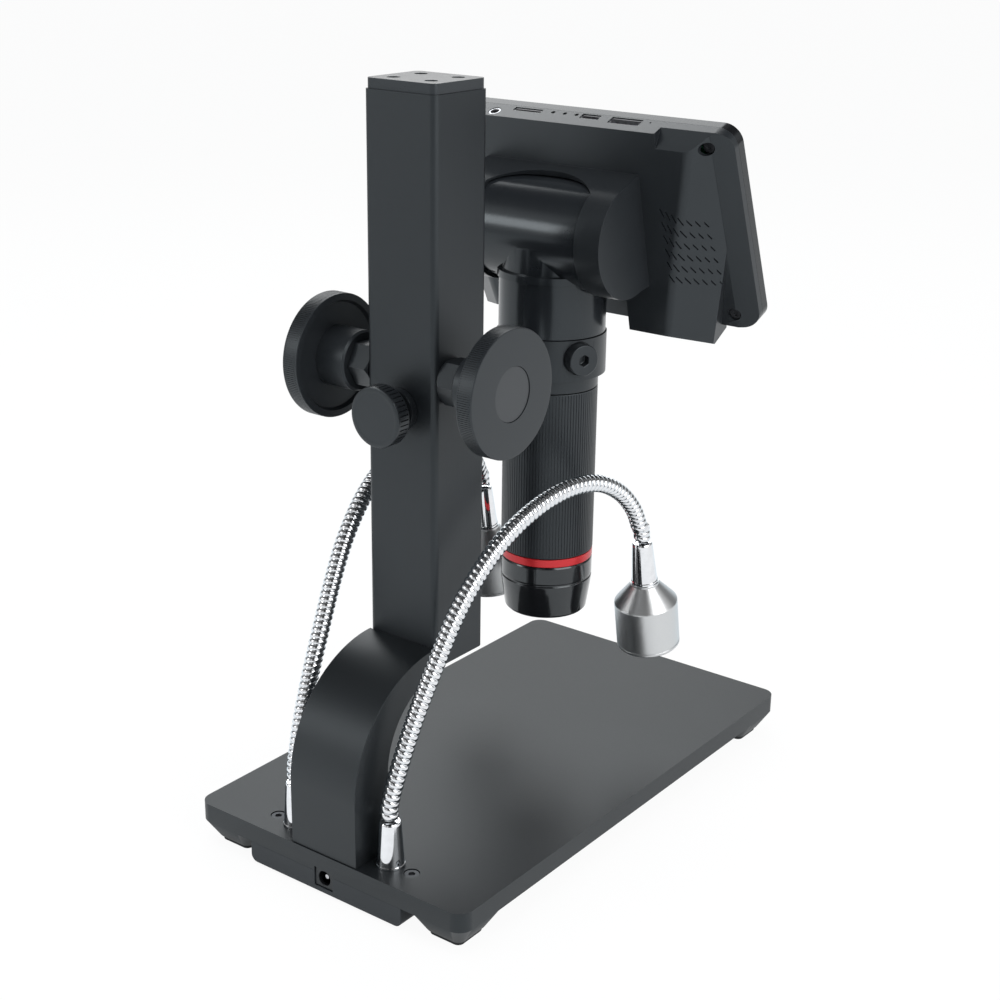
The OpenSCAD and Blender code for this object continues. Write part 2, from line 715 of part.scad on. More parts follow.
module nose() color([0.1, 0.1, 0.11]) translate([0, -scope_y, nose_z]) rotate_extrude(convexity = 6)
    difference() {
        polygon([[window_r, 0], [16.6, 0], [17.4, 0.9], [18.9, 11], [19.3, 14.6], [18.9, 15], [18.9, 15.6],
            [19.3, 16], [19.3, nose_l - 0.8], [18.9, nose_l], [window_r, nose_l]]);
        translate([0, 8 - seat_gap]) square([barrel_r + seat_gap, nose_l]);
        translate([0, window_seat]) square([window_r + window_lip, 8 - window_seat]);
    }

window_r = 13;
window_lip = 1.6;
window_seat = 5;

module front_window() color([0.75, 0.85, 0.9, 0.5]) translate([0, -scope_y, nose_z])
    disc(window_r + window_lip - seat_gap, window_seat + seat_gap, 7.9);

module focus_grip() color([0.13, 0.14, 0.15]) translate([0, -scope_y, 0]) difference() {
    disc(grip_d / 2, grip_z, grip_top);
    disc(barrel_r + moving_gap, grip_z - 1, grip_top + 1);
}

// ---------- screen ----------

module in_screen() {
    translate([0, -scope_y, pivot_z]) rotate([-screen_lean, 0, 0]) children();
}

// A plate in the screen's own frame, its face square to Y.
module slab(w, h, r, y0, y1, z) {
    translate([0, y1, z]) rotate([90, 0, 0]) linear_extrude(y1 - y0) rounded_rect(w, h, r);
}

screen_mid = (screen_top + screen_bottom) / 2;
cover_corner = 7;
cover_front = face + bezel_t;
screw_x = screen_w * 0.19 + panel_w * 0.305;
screw_in = 6;
screw_pocket_r = 2.7;
screw_pocket = 1.3;
cover_screw_r = 1.3;

// The wedge on the housing's back: outline of its side.
module wedge_side(inset) {
    polygon([[cover_front + 1, screen_top - inset], [face + bulge_top - inset, screen_top - inset],
        [face + bulge_depth - inset, screen_bottom + 2 + inset * 0.6],
        [face + 14.5 - inset, screen_bottom - bulge_foot + inset],
        [cover_front + 1, screen_bottom - bulge_foot + 2 + inset]]);
}

// The wedge narrows towards the back and towards its foot, so its sides slope.
module wedge(inset) {
    front_w = bulge_w / 2 - inset;
    rear_w = bulge_rear_w / 2 - inset;
    intersection() {
        along_x(-bulge_w / 2, bulge_w / 2) wedge_side(inset);
        translate([0, 0, screen_bottom - 20]) linear_extrude(screen_h + 40)
            polygon([[-front_w, cover_front], [-front_w, edge_rear], [-rear_w, face + bulge_depth + 1],
                [rear_w, face + bulge_depth + 1], [front_w, edge_rear], [front_w, cover_front]]);
        translate([0, face + bulge_depth + 1, 0]) rotate([90, 0, 0]) linear_extrude(bulge_depth + 1)
            for (side = [left, right]) polygon([[0, screen_top + 1], [side * front_w, screen_top + 1],
                [side * front_w, bulge_taper_z], [side * (bulge_foot_w / 2 - inset), screen_bottom - bulge_foot],
                [0, screen_bottom - bulge_foot]]);
    }
}

// What the wedge's two upper corners lose, as a slope that faces up and back.
module shoulder_cut(inset) {
    slope_y = edge_rear - 1 - inset;
    slope_z = screen_top - inset;
    for (side = [left, right]) scale([side, 1, 1]) along_x(shoulder_x - inset, screen_w)
        polygon([[slope_y, slope_z + 5], [slope_y, slope_z],
            [slope_y + 2 * shoulder_drop, slope_z - 2 * shoulder_drop], [slope_y + 2 * shoulder_drop, slope_z + 5]]);
}

// A lug's outline with the shelf that joins its top to the screen's back.
module lug_side() {
    circle(d = lug_d);
    polygon([[0, shelf_z], [edge_rear + 2, shelf_z], [edge_rear + 2, -lug_d / 2 - 4], [0, -lug_d / 2]]);
}

side_bevel_w = 9;
side_bevel_d = 3;

module rear_cover() color([0.16, 0.17, 0.19]) in_screen() difference() {
    union() {
        slab(screen_w, screen_h, cover_corner, cover_front, edge_rear, screen_mid);
        wedge(0);
        along_x(-lug_in - lug_t, lug_in + lug_t) lug_side();
    }
    shoulder_cut(0);
    // Bevel down both sides of the housing.
    for (side = [left, right]) scale([side, 1, 1])
        translate([0, 0, screen_bottom - 1]) linear_extrude(screen_h + 2)
            polygon([[screen_w / 2 - side_bevel_w, edge_rear + eps], [screen_w / 2 + 1, edge_rear + eps],
                [screen_w / 2 + 1, edge_rear - side_bevel_d]]);
    // Hollow for the display and the board, then the deeper one behind it.
    slab(screen_w - 2 * cover_wall, screen_h - 2 * cover_wall, cover_corner - cover_wall, cover_front - 1,
        edge_rear - cover_wall, screen_mid);
    difference() {
        wedge(cover_wall);
        shoulder_cut(cover_wall);
        block(-lug_in - cover_wall, lug_in + cover_wall, face, 0, screen_bottom - 20, screen_top);
    }
    // Recess between the lugs: round for the head, open below for the neck, scooped on top.
    intersection() {
        rod_x(recess_r, -lug_in, lug_in);
        block(-lug_in, lug_in, recess_y, recess_r + 1, -recess_r - 1, recess_r + 1);
    }
    block(-lug_in, lug_in, recess_y, lug_d, screen_bottom - 20, 0);
    intersection() {
        translate([0, scoop_y + scoop_r, 0]) disc(scoop_r, 0, lug_d);
        block(-lug_in, lug_in, scoop_y - 1, lug_d, -1, lug_d);
    }
    rod_x(pin_d / 2 + running_gap, -lug_in - lug_t + 1.4, lug_in + lug_t - 1.4);
    // Sockets and small holes along the top edge.
    ports_at(seat_gap) block(-10, 10, -5, 5, board_top - 0.1, screen_top + 1);
    jack_at() disc(jack_r + seat_gap, board_top - 0.1, screen_top + 1);
    translate([0, face + signal_y, screen_top - hole_depth]) {
        for (x = signal_holes) translate([x, 0, 0]) disc(signal_r, 0, hole_depth + 1);
        translate([reset_x, 0, 0]) disc(signal_r / 2, 0, hole_depth + 1);
    }
    cover_screws_at() {
        rod_y(cover_screw_r + seat_gap, face + 2.4, edge_rear + 1);
        rod_y(screw_pocket_r, edge_rear - screw_pocket, edge_rear + 4);
    }
}

module cover_screws_at() for (side = [left, right], z = [screen_top - screw_in, screen_bottom + screw_in])
    translate([side * screw_x, 0, z]) children();

// Sockets on the top edge: place, width, depth and distance back from the front frame.
ports = [[18.5, 13.4, 2.4, 1.1], [-11.5, 8.6, 3.2, 0.7], [-28, 14, 4.4, 0.7]];
jack_x = 32.9;
jack_back = 9.6;
jack_r = 2.6;
jack_wall = 0.9;
port_wall = 0.5;
port_floor = 0.8;
hole_depth = 1.4;
signal_holes = [6.4, 0.8, -4.8];
signal_y = 6;
signal_r = 0.9;
reset_x = -38.8;

// Trims what it is given to each socket's width and depth, widened all round by the gap.
module ports_at(gap) for (p = ports)
    translate([p[0], cover_front + p[3] + p[2] / 2, 0]) intersection() {
        block(-p[1] / 2 - gap, p[1] / 2 + gap, -p[2] / 2 - gap, p[2] / 2 + gap, board_top - 1, screen_top + 2);
        children();
    }

module jack_at() translate([jack_x, face + jack_back, 0]) children();

module port_sockets() color([0.65, 0.66, 0.68]) in_screen() {
    difference() {
        ports_at(0) block(-10, 10, -5, 5, board_top, screen_top - 0.4);
        ports_at(-port_wall) block(-10, 10, -5, 5, board_top + port_floor, screen_top + 1);
    }
    jack_at() difference() {
        disc(jack_r, board_top, screen_top - 0.2);
        disc(jack_r - jack_wall, board_top + port_floor, screen_top);
    }
}

board_top = screen_top - 6.2;

module front_frame() color([0.1, 0.1, 0.11]) in_screen() difference() {
    slab(screen_w, screen_h, cover_corner, face, cover_front - seat_gap, screen_mid);
    slab(window_w, window_h, 1, face - 1, face + bezel_t + 1, window_z);
    slab(panel_w + 0.2, panel_h + 0.2, 1, face + 1.6, face + bezel_t + 1, window_z);
    for (i = [0 : 4]) rod_y(button_d / 2 + moving_gap, face - 1, face + bezel_t + 1, (i - 2) * button_pitch, button_z);
    cover_screws_at() rod_y(cover_screw_r, face + 2.4, face + bezel_t + 1);
}

module screen_glass() color([0.08, 0.09, 0.1, 0.6]) in_screen()
    slab(window_w - 0.2, window_h - 0.2, 1, face + 0.3, face + 1.5, window_z);

module lcd_panel() color([0.05, 0.06, 0.08]) in_screen()
    slab(panel_w, panel_h, 1, face + 1.65, face + 4.4, window_z);

board_half_w = screw_x - cover_screw_r - 2.7;
board_t = 1.4;
board_gap = 0.3;
chip = 10;
chip_t = 0.6;
battery_w = 22;
battery_h = 34;
battery_t = 5.5;
speaker_r = 8.5;
speaker_t = 4.5;
speaker_x = -40;
speaker_z = -16;

module main_board() color([0.1, 0.35, 0.2]) in_screen() {
    block(-board_half_w, board_half_w, board_y - board_t, board_y, screen_bottom + 8, board_top);
    for (x = [-4, -1.4, 3] * chip) block(x, x + chip, board_y - eps, board_y + chip_t, 2, 2 + chip);
}

module battery() color([0.55, 0.57, 0.6]) in_screen() translate([30, board_y + board_gap, screen_bottom + 6])
    cube([battery_w, battery_t, battery_h]);

module speaker() color([0.1, 0.1, 0.1]) in_screen() difference() {
    rod_y(speaker_r, board_y + board_gap, board_y + board_gap + speaker_t, speaker_x, speaker_z);
    rod_y(speaker_r / 3, board_y + speaker_t - 1, board_y + speaker_t + 1, speaker_x, speaker_z);
}

module cover_screws() color([0.3, 0.31, 0.33]) in_screen() cover_screws_at() difference() {
    union() {
        rod_y(cover_screw_r - seat_gap, face + 2.5, edge_rear - screw_pocket + eps);
        rod_y(screw_pocket_r - 0.3, edge_rear - screw_pocket + seat_gap, edge_rear - 0.5);
    }
    rod_y(1, edge_rear - 1, edge_rear);
}

module button(i) color([0.2, 0.2, 0.21]) in_screen()
    rod_y(button_d / 2, face - 0.6, face + bezel_t - 1, (i - 3) * button_pitch, button_z);

module button_1() button(1);
module button_2() button(2);
module button_3() button(3);
module button_4() button(4);
module button_5() button(5);

// ---------- gooseneck lamps ----------

module lamp_socket(side) color([0.8, 0.8, 0.82])
    translate([side * socket_x, socket_y, stage_top]) rotate_extrude()
        polygon([[hose_bore / 2, 0], [socket_foot_r, 0], [socket_foot_r, 1], [socket_tip_r, socket_l],
            [hose_bore / 2, socket_l]]);

socket_foot_r = 5.6;
socket_tip_r = hose_d / 2 + 0.5;

module lamp_socket_left() lamp_socket(left);
module lamp_socket_right() lamp_socket(right);

// Catmull-Rom curve through the route's points.
function spline(p, i, u) =
    let (a = p[max(i - 1, 0)], b = p[i], c = p[i + 1], d = p[min(i + 2, len(p) - 1)])
    0.5 * (2 * b + (c - a) * u + (2 * a - 5 * b + 4 * c - d) * u * u + (3 * b - a - 3 * c + d) * u * u * u);

function fine_route(p) = [for (i = [0 : len(p) - 2], k = [0 : steps - 1]) spline(p, i, k / steps), p[len(p) - 1]];

// Running length at each point of a fine route.
function lengths(q, i = 0, total = 0, out = []) =
    i == len(q) ? out
    : let (t = i == 0 ? 0 : total + norm(q[i] - q[i - 1])) lengths(q, i + 1, t, concat(out, [t]));

function point_at(q, s, at) = [lookup(at, [for (i = [0 : len(q) - 1]) [s[i], q[i].x]]),
    lookup(at, [for (i = [0 : len(q) - 1]) [s[i], q[i].y]]), lookup(at, [for (i = [0 : len(q) - 1]) [s[i], q[i].z]])];

function unit(v) = v / norm(v);

// Straight ends, square to the socket and to the lamp's sleeve.
function with_straight_ends(p, out) = concat([p[0], [0, 0, hose_d]],
    [for (i = [2 : len(p) - 2]) p[i]], [p[len(p) - 1] - out * hose_d, p[len(p) - 1]]);

function ring(centre, ahead, across, r) =
    let (side = unit(across - ahead * (across * ahead)), up = cross(ahead, side))
    [for (k = [0 : ring_sides - 1]) let (a = 360 * k / ring_sides) centre + r * (side * cos(a) + up * sin(a))];

module gooseneck(side, route, tilt) {
    out = [0, -sin(tilt), -cos(tilt)];
    q = fine_route(with_straight_ends(route, out));
    s = lengths(q);
    total = s[len(s) - 1];
    ribs = round(total / rib_pitch);
    across = unit([140, 17.9, 0]);
    // Crest and groove of each rib, then the bore's rings back again.
    stations = [for (i = [0 : 2 * ribs - 1]) total * (i + (i % 2 == 0 ? 0.15 : -0.15) + 0.5) / (2 * ribs)];
    outer_at = concat([0], [for (i = [1 : len(stations) - 2]) stations[i]], [total]);
    bore_every = 6;
    bore_count = ceil((len(outer_at) - 1) / bore_every);
    bore_at = [for (i = [0 : bore_count]) total * (1 - i / bore_count)];
    function ahead(at) = at <= hose_d ? [0, 0, 1] : at >= total - hose_d ? out
        : unit(point_at(q, s, at + 0.6) - point_at(q, s, at - 0.6));
    points = concat(
        [for (i = [0 : len(outer_at) - 1]) each ring(point_at(q, s, outer_at[i]), ahead(outer_at[i]), across,
            hose_d / 2 - (i % 2 == 0 ? 0 : rib_depth))],
        [for (at = bore_at) each ring(point_at(q, s, at), ahead(at), across, hose_bore / 2)]);
    n = ring_sides;
    rows = len(outer_at) + len(bore_at);
    faces = [for (i = [0 : rows - 1], k = [0 : n - 1], half = [0, 1])
        let (a = i * n + k, b = i * n + (k + 1) % n, c = ((i + 1) % rows) * n + (k + 1) % n, d = ((i + 1) % rows) * n + k)
        half == 0 ? [a, c, b] : [a, d, c]];
    echo(str("tube length ", total, ", ribs ", ribs));
    translate([side * socket_x, socket_y, socket_top + 0.1]) mirror([side < 0 ? 1 : 0, 0, 0])
        polyhedron(points, faces, convexity = 10);
}

module gooseneck_left() color([0.82, 0.82, 0.84]) gooseneck(left, route_left, lamp_tilt_left);
module gooseneck_right() color([0.82, 0.82, 0.84]) gooseneck(right, route_right, lamp_tilt_right);

// A lamp's own frame: its sleeve's end at the origin, its light towards -Z.
module at_lamp(side, route, tilt) {
    end = route[len(route) - 1];
    translate([side * (socket_x + end.x), socket_y + end.y, socket_top + 0.1 + end.z]) rotate([-tilt, 0, 0]) children();
}

module lamp_sleeve() color([0.8, 0.8, 0.82]) rotate_extrude()
    polygon([[hose_bore / 2, 0], [socket_tip_r, 0], [socket_foot_r, -socket_l + 1], [socket_foot_r, -socket_l],
        [hose_bore / 2, -socket_l]]);

module lamp_shell() color([0.75, 0.75, 0.77]) translate([0, 0, -socket_l]) rotate_extrude()
    difference() {
        polygon([[hose_bore / 2, 0], [socket_foot_r, 0], [socket_foot_r + 0.4, -1], [lamp_d / 2, -lamp_cone_l],
            [lamp_d / 2, -lamp_cone_l - lamp_l + 0.5], [lamp_d / 2 - 0.5, -lamp_cone_l - lamp_l], [0, -lamp_cone_l - lamp_l],
            [0, -1], [hose_bore / 2, -1]]);
        polygon([[0, -2.6], [socket_foot_r - 1, -2.6], [lamp_d / 2 - lamp_wall, -lamp_cone_l - 1],
            [lamp_d / 2 - lamp_wall, -lamp_cone_l - lamp_l - 1], [0, -lamp_cone_l - lamp_l - 1]]);
    }

module lamp_lens() color([0.9, 0.92, 0.95, 0.6]) translate([0, 0, -socket_l - lamp_cone_l - lamp_l]) {
    disc(lamp_d / 2 - lamp_wall - seat_gap, 1.2, 3.2);
    disc(lamp_d / 2 - lamp_wall - 4, 3.2, 11);
}

module lamp_sleeve_left() at_lamp(left, route_left, lamp_tilt_left) lamp_sleeve();
module lamp_sleeve_right() at_lamp(right, route_right, lamp_tilt_right) lamp_sleeve();
module lamp_shell_left() at_lamp(left, route_left, lamp_tilt_left) lamp_shell();
module lamp_shell_right() at_lamp(right, route_right, lamp_tilt_right) lamp_shell();
module lamp_lens_left() at_lamp(left, route_left, lamp_tilt_left) lamp_lens();
module lamp_lens_right() at_lamp(right, route_right, lamp_tilt_right) lamp_lens();

stage_plate();
foot_pads();
supply_box();
base_screws();
dc_jack();
dc_pin();
lamp_driver();
bracket();
bracket_bolts();
column();
column_plug();
column_cap();
cap_screws();
shaft_bush_left();
shaft_bush_right();
lock_bush();
lamp_socket_left();
lamp_socket_right();
slider();
rack();
holder_arm();
clamp_screw();
pinion_shaft();
focus_knob_left();
focus_knob_right();
knob_inlays();
lock_knob();
lock_stud();
head_housing();
pivot_pin();
retaining_ring();
lens_barrel();
imaging_board();
objective_lens();
red_ring();
nose();
front_window();
focus_grip();
rear_cover();
front_frame();
screen_glass();
lcd_panel();
main_board();
port_sockets();
battery();
speaker();
cover_screws();
button_1();
button_2();
button_3();
button_4();
button_5();
gooseneck_left();
lamp_sleeve_left();
lamp_shell_left();
lamp_lens_left();
gooseneck_right();
lamp_sleeve_right();
lamp_shell_right();
lamp_lens_right();
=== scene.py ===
import json
import math

import bpy
from mathutils import Matrix, Vector


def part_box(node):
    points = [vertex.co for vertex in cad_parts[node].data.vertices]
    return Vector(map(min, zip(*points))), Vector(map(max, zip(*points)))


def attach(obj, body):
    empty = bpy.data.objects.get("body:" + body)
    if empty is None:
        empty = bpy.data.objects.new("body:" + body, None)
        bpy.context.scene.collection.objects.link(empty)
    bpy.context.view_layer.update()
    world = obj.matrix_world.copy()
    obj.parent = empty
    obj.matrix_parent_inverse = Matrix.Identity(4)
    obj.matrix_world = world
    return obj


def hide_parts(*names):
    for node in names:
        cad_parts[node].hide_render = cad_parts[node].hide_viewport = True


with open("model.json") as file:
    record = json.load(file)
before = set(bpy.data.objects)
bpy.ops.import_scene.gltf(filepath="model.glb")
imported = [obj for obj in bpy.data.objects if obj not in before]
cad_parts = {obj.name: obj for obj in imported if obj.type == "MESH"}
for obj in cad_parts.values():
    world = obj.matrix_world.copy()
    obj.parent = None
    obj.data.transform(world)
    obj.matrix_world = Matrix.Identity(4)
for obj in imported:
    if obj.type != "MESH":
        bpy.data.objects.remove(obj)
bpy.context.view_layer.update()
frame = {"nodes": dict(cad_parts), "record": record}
mm = 0.001
scene = bpy.context.scene
scene.view_settings.view_transform = "Standard"

# ---- Camera ----
# It looks down at the microscope from behind and to one side, from about 0.7 m,
# with a long lens and a very slight roll.
camera_at = (-0.3946, 0.5332, 0.3691)
back = Vector((-0.5641, 0.7522, 0.3405)).normalized()
level = Vector((0, 0, 1)).cross(back).normalized()
upright = back.cross(level)
roll = math.radians(0.796)
across = level * math.cos(roll) + upright * math.sin(roll)
upward = upright * math.cos(roll) - level * math.sin(roll)
bpy.ops.object.camera_add(location=camera_at)
camera = bpy.context.active_object
camera.name = "viewpoint"
camera.data.lens = 62.24
camera.data.sensor_width = 36
camera.data.clip_start = 0.01
camera.data.clip_end = 50
camera.rotation_mode = "QUATERNION"
camera.rotation_quaternion = Matrix((across, upward, back)).transposed().to_quaternion()
scene.camera = camera

# ---- Studio ----
# A pale floor under the feet and a white surround, with broad soft lamps. Metal sees
# a ring of pale panels with darker gaps between them under a darker ceiling, and a
# floor that grows paler from behind the microscope to its front.


class Wire:
    """A number or colour on its way through a material, ready for sums."""

    def __init__(self, nodes, socket):
        self.nodes = nodes
        self.socket = socket

    def sum(self, how, *terms):
        return self.nodes.node("ShaderNodeMath", {"operation": how}, *terms)

    def __add__(self, other):
        return self.sum("ADD", self, other)

    def __mul__(self, other):
        return self.sum("MULTIPLY", self, other)

    __radd__ = __add__
    __rmul__ = __mul__

    def out(self, name):
        return Wire(self.nodes, self.socket.node.outputs[name])


class Nodes:
    """The nodes of a material or of the surround, all made by one method."""

    def __init__(self, owner):
        owner.use_nodes = True
        self.tree = owner.node_tree

    def put(self, socket, value):
        if isinstance(value, Wire):
            self.tree.links.new(value.socket, socket)
        elif isinstance(value, tuple) and len(value) == 3 and socket.type == "RGBA":
            socket.default_value = (*value, 1)
        else:
            socket.default_value = value

    def node(self, kind, settings, *values, **named):
        """A node with its settings first, then its sockets in order or by name; gives its first output."""
        made = self.tree.nodes.new(kind)
        for key, value in settings.items():
            if key == "stops":
                ramp = made.color_ramp
                while len(ramp.elements) < len(value):
                    ramp.elements.new(0.5)
                for stop, (place, colour) in zip(ramp.elements, value):
                    stop.position = place
                    stop.color = (*colour, 1)
            else:
                setattr(made, key, value)
        for socket, value in zip(made.inputs, values):
            self.put(socket, value)
        for key, value in named.items():
            self.put(made.inputs[key.replace("_", " ")], value)
        return Wire(self, next((o for o in made.outputs if o.enabled), None))


bpy.ops.mesh.primitive_plane_add(size=14, location=(0, 0, 0))
floor = bpy.context.active_object
floor.name = "floor"
floor_paint = bpy.data.materials.new("pale_floor")
paint = Nodes(floor_paint)
paint.tree.nodes.clear()
rays = paint.node("ShaderNodeLightPath", {})
spot = paint.node("ShaderNodeTexCoord", {}).out("Object")
forward = paint.node("ShaderNodeVectorMath", {"operation": "DOT_PRODUCT"}, spot, (-0.6, -1, 0)).out("Value")
pale = paint.node("ShaderNodeMapRange", {}, forward, -0.35, 0.3, 0.27, 0.78)
glowing = rays.out("Is Camera Ray") * 0.94 + rays.out("Is Glossy Ray") * pale
matt = paint.node("ShaderNodeBsdfDiffuse", {}, Color=(0.9, 0.9, 0.9))
painted = paint.node("ShaderNodeMixShader", {}, glowing, matt, paint.node("ShaderNodeEmission", {}))
paint.node("ShaderNodeOutputMaterial", {}, Surface=painted)
floor.data.materials.append(floor_paint)

sky = bpy.data.worlds.new("white_surround")
scene.world = sky
surround = Nodes(sky)
surround.tree.nodes.clear()
way = surround.node("ShaderNodeSeparateXYZ", {}, surround.node("ShaderNodeTexCoord", {}).out("Generated"))
bearing = way.sum("ARCTAN2", way.out("Y"), way.out("X"))
turn = surround.node("ShaderNodeMapRange", {}, bearing, -math.pi, math.pi)
# How pale the ring of panels is, at shares of a full turn.
panel_shades = [(0.0, 0.85), (0.10, 0.95), (0.15, 0.2), (0.22, 0.25), (0.28, 1.0), (0.43, 0.95),
                (0.48, 0.3), (0.56, 0.2), (0.61, 0.95), (0.72, 0.7), (0.755, 0.2), (0.79, 0.85),
                (0.82, 0.1), (0.885, 0.1), (0.91, 0.9), (1.0, 0.85)]
ring = surround.node("ShaderNodeValToRGB",
                     {"stops": [(share, (shade, shade, shade)) for share, shade in panel_shades]}, turn)
ceiling = surround.node("ShaderNodeMapRange", {}, way.out("Z"), 0.5, 0.66, 1, 0.2)
rays = surround.node("ShaderNodeLightPath", {})
plain = surround.node("ShaderNodeBackground", {}, Color=(0.9, 0.96, 1), Strength=0.55)
shiny = surround.node("ShaderNodeBackground", {}, Color=ring, Strength=ceiling)
white = surround.node("ShaderNodeBackground", {})
lit = surround.node("ShaderNodeMixShader", {}, rays.out("Is Glossy Ray"), plain, shiny)
clear = rays.sum("MAXIMUM", rays.out("Is Camera Ray"), rays.out("Is Transmission Ray"))
seen = surround.node("ShaderNodeMixShader", {}, clear, lit, white)
surround.node("ShaderNodeOutputWorld", {}, Surface=seen)

panel_target = Vector((0, 0, 0.15))
for name, place, size, watts, tint in (
    ("side_panel", (-1.1, 0.15, 0.75), (0.9, 0.9), 9, (1, 1, 1)),
    ("top_panel", (0.1, 0.2, 1.3), (1.1, 1.1), 8, (0.97, 0.98, 1)),
    ("far_panel", (0.66, -0.72, 0.98), (0.9, 0.7), 5.2, (1, 1, 1)),
    ("rear_strip", (0.68, 0.91, 0.52), (0.3, 0.3), 1.3, (1, 1, 1)),
):
    bpy.ops.object.light_add(type="AREA", location=place)
    panel = bpy.context.active_object
    panel.name = name
    panel.data.shape = "RECTANGLE"
    panel.data.size, panel.data.size_y = size
    panel.data.energy = watts
    panel.data.color = tint
    panel.visible_glossy = name != "top_panel"
    panel.rotation_mode = "QUATERNION"
    panel.rotation_quaternion = (panel_target - Vector(place)).to_track_quat("-Z", "Y")

# ---- Stage plate and feet ----
# A thick metal plate with a fine, matt anodised coat, its edges broken by a small
# radius. Four tapered corner feet stand on rubber pads.


class Finish(Nodes):
    """One material of the microscope, built round a principled shader."""

    def __init__(self, name):
        self.material = bpy.data.materials.new(name)
        super().__init__(self.material)
        self.shader = self.tree.nodes["Principled BSDF"]
        # Every finish tints its reflections pale blue: painted cool light in the reflections.
        self.shader.inputs["Specular Tint"].default_value = (0.86, 0.95, 1, 1)

    def set(self, **named):
        for key, value in named.items():
            self.put(self.shader.inputs[key.replace("_", " ")], value)
        return self

    def place(self):
        """Where a point lies on the object, in metres."""
        return self.node("ShaderNodeTexCoord", {}).out("Object")

    def noise(self, size, detail=3.0, stretch=(1, 1, 1)):
        """Cloudy noise whose blotches are about size metres across."""
        spot = self.node("ShaderNodeMapping", {}, self.place(), Scale=stretch)
        return self.node("ShaderNodeTexNoise", {}, spot, Scale=1 / size, Detail=detail)

    def blend(self, share, one, other):
        mix = self.node("ShaderNodeMix", {"data_type": "RGBA"}, share)
        made = mix.socket.node
        colours = [i for i in made.inputs if i.type == "RGBA"]
        self.put(colours[0], one)
        self.put(colours[1], other)
        return Wire(self, next(o for o in made.outputs if o.type == "RGBA"))

    def bump(self, height, depth):
        bump = self.node("ShaderNodeBump", {}, Height=height, Distance=depth, Strength=1.0)
        return self.set(Normal=bump)


def satin(name, dark, light, rough, grain, depth, metallic=0.0):
    """A coat that drifts slightly in tone, with a speckle of its grain in gloss and in height."""
    finish = Finish(name)
    tone = finish.noise(25 * mm, 2.0)
    speck = finish.noise(grain, 2.0)
    finish.set(Base_Color=finish.blend(tone, dark, light), Metallic=metallic,
               Roughness=speck * 0.12 + (rough - 0.06))
    return finish.bump(speck, depth)


bodies = frame["record"]["behaviour"]["bodies"]
body_of = {node: body for body, nodes in bodies.items() for node in nodes}


def deselect():
    if bpy.context.mode != "OBJECT":
        bpy.ops.object.mode_set(mode="OBJECT")
    bpy.ops.object.select_all(action="DESELECT")


def settle(piece, name, finish, nodes, smooth=32):
    """Names a new piece, paints it, joins it to its body and lets it stand for its CAD nodes."""
    deselect()
    piece.select_set(True)
    bpy.context.view_layer.objects.active = piece
    bpy.ops.object.shade_smooth_by_angle(angle=math.radians(smooth))
    even = piece.modifiers.new("even", "WEIGHTED_NORMAL")
    even.keep_sharp = True
    even.weight = 80
    bpy.ops.object.modifier_apply(modifier=even.name)
    piece.name = name
    piece.data.name = name
    piece.data.materials.clear()
    piece.data.materials.append(finish.material)
    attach(piece, body_of[nodes[0]])
    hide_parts(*nodes)


def copied(node):
    """A merged copy of a CAD node, ready to be worked on."""
    deselect()
    source = frame["nodes"][node]
    source.select_set(True)
    bpy.context.view_layer.objects.active = source
    bpy.ops.object.duplicate()
    piece = bpy.context.active_object
    piece.parent = None
    piece.matrix_world = Matrix.Identity(4)
    for key in list(piece.keys()):
        del piece[key]
    bpy.ops.object.mode_set(mode="EDIT")
    bpy.ops.mesh.select_all(action="SELECT")
    bpy.ops.mesh.customdata_custom_splitnormals_clear()
    bpy.ops.mesh.remove_doubles(threshold=2e-6)
    bpy.ops.mesh.dissolve_limited(angle_limit=math.radians(0.5))
    bpy.ops.object.mode_set(mode="OBJECT")
    return piece


def worked(piece, kind, **settings):
    """Adds one modifier to a piece and applies it."""
    deselect()
    piece.select_set(True)
    bpy.context.view_layer.objects.active = piece
    step = piece.modifiers.new("step", kind)
    for key, value in settings.items():
        setattr(step, key, value)
    bpy.ops.object.modifier_apply(modifier=step.name)


def eased(node, width, finish, name, angle=34, segments=2):
    """A CAD node's shape with its sharp edges broken by a small radius."""
    piece = copied(node)
    worked(piece, "BEVEL", width=width, segments=segments, limit_method="ANGLE",
           angle_limit=math.radians(angle), use_clamp_overlap=True)
    settle(piece, name, finish, [node])


plate_coat = satin("plate_anodised", (0.006, 0.007, 0.0082), (0.0095, 0.011, 0.0125),
                   rough=0.42, grain=0.35 * mm, depth=0.012 * mm)
eased("stage_plate", 0.7 * mm, plate_coat, "stage_plate_coated")
pad_rubber = satin("pad_rubber_moulded", (0.012, 0.012, 0.012), (0.02, 0.02, 0.02),
                   rough=0.75, grain=0.4 * mm, depth=0.03 * mm)
eased("foot_pads", 0.4 * mm, pad_rubber, "foot_pads_rubber")

# ---- Lamp supply box and power inlet ----
# A moulded plastic box screwed up under the plate's rear edge. It holds the lamps'
# driver board, and a round power inlet with a bright centre pin shows in its face.
box_plastic = satin("box_moulded", (0.011, 0.0125, 0.015), (0.0175, 0.0195, 0.0225),
                    rough=0.5, grain=0.5 * mm, depth=0.02 * mm)
eased("supply_box", 0.5 * mm, box_plastic, "supply_box_moulded")
inlet_black = satin("inlet_black", (0.006, 0.006, 0.0065), (0.010, 0.010, 0.011),
                    rough=0.3, grain=0.4 * mm, depth=0.004 * mm)
eased("dc_jack", 0.35 * mm, inlet_black, "power_inlet", segments=1)


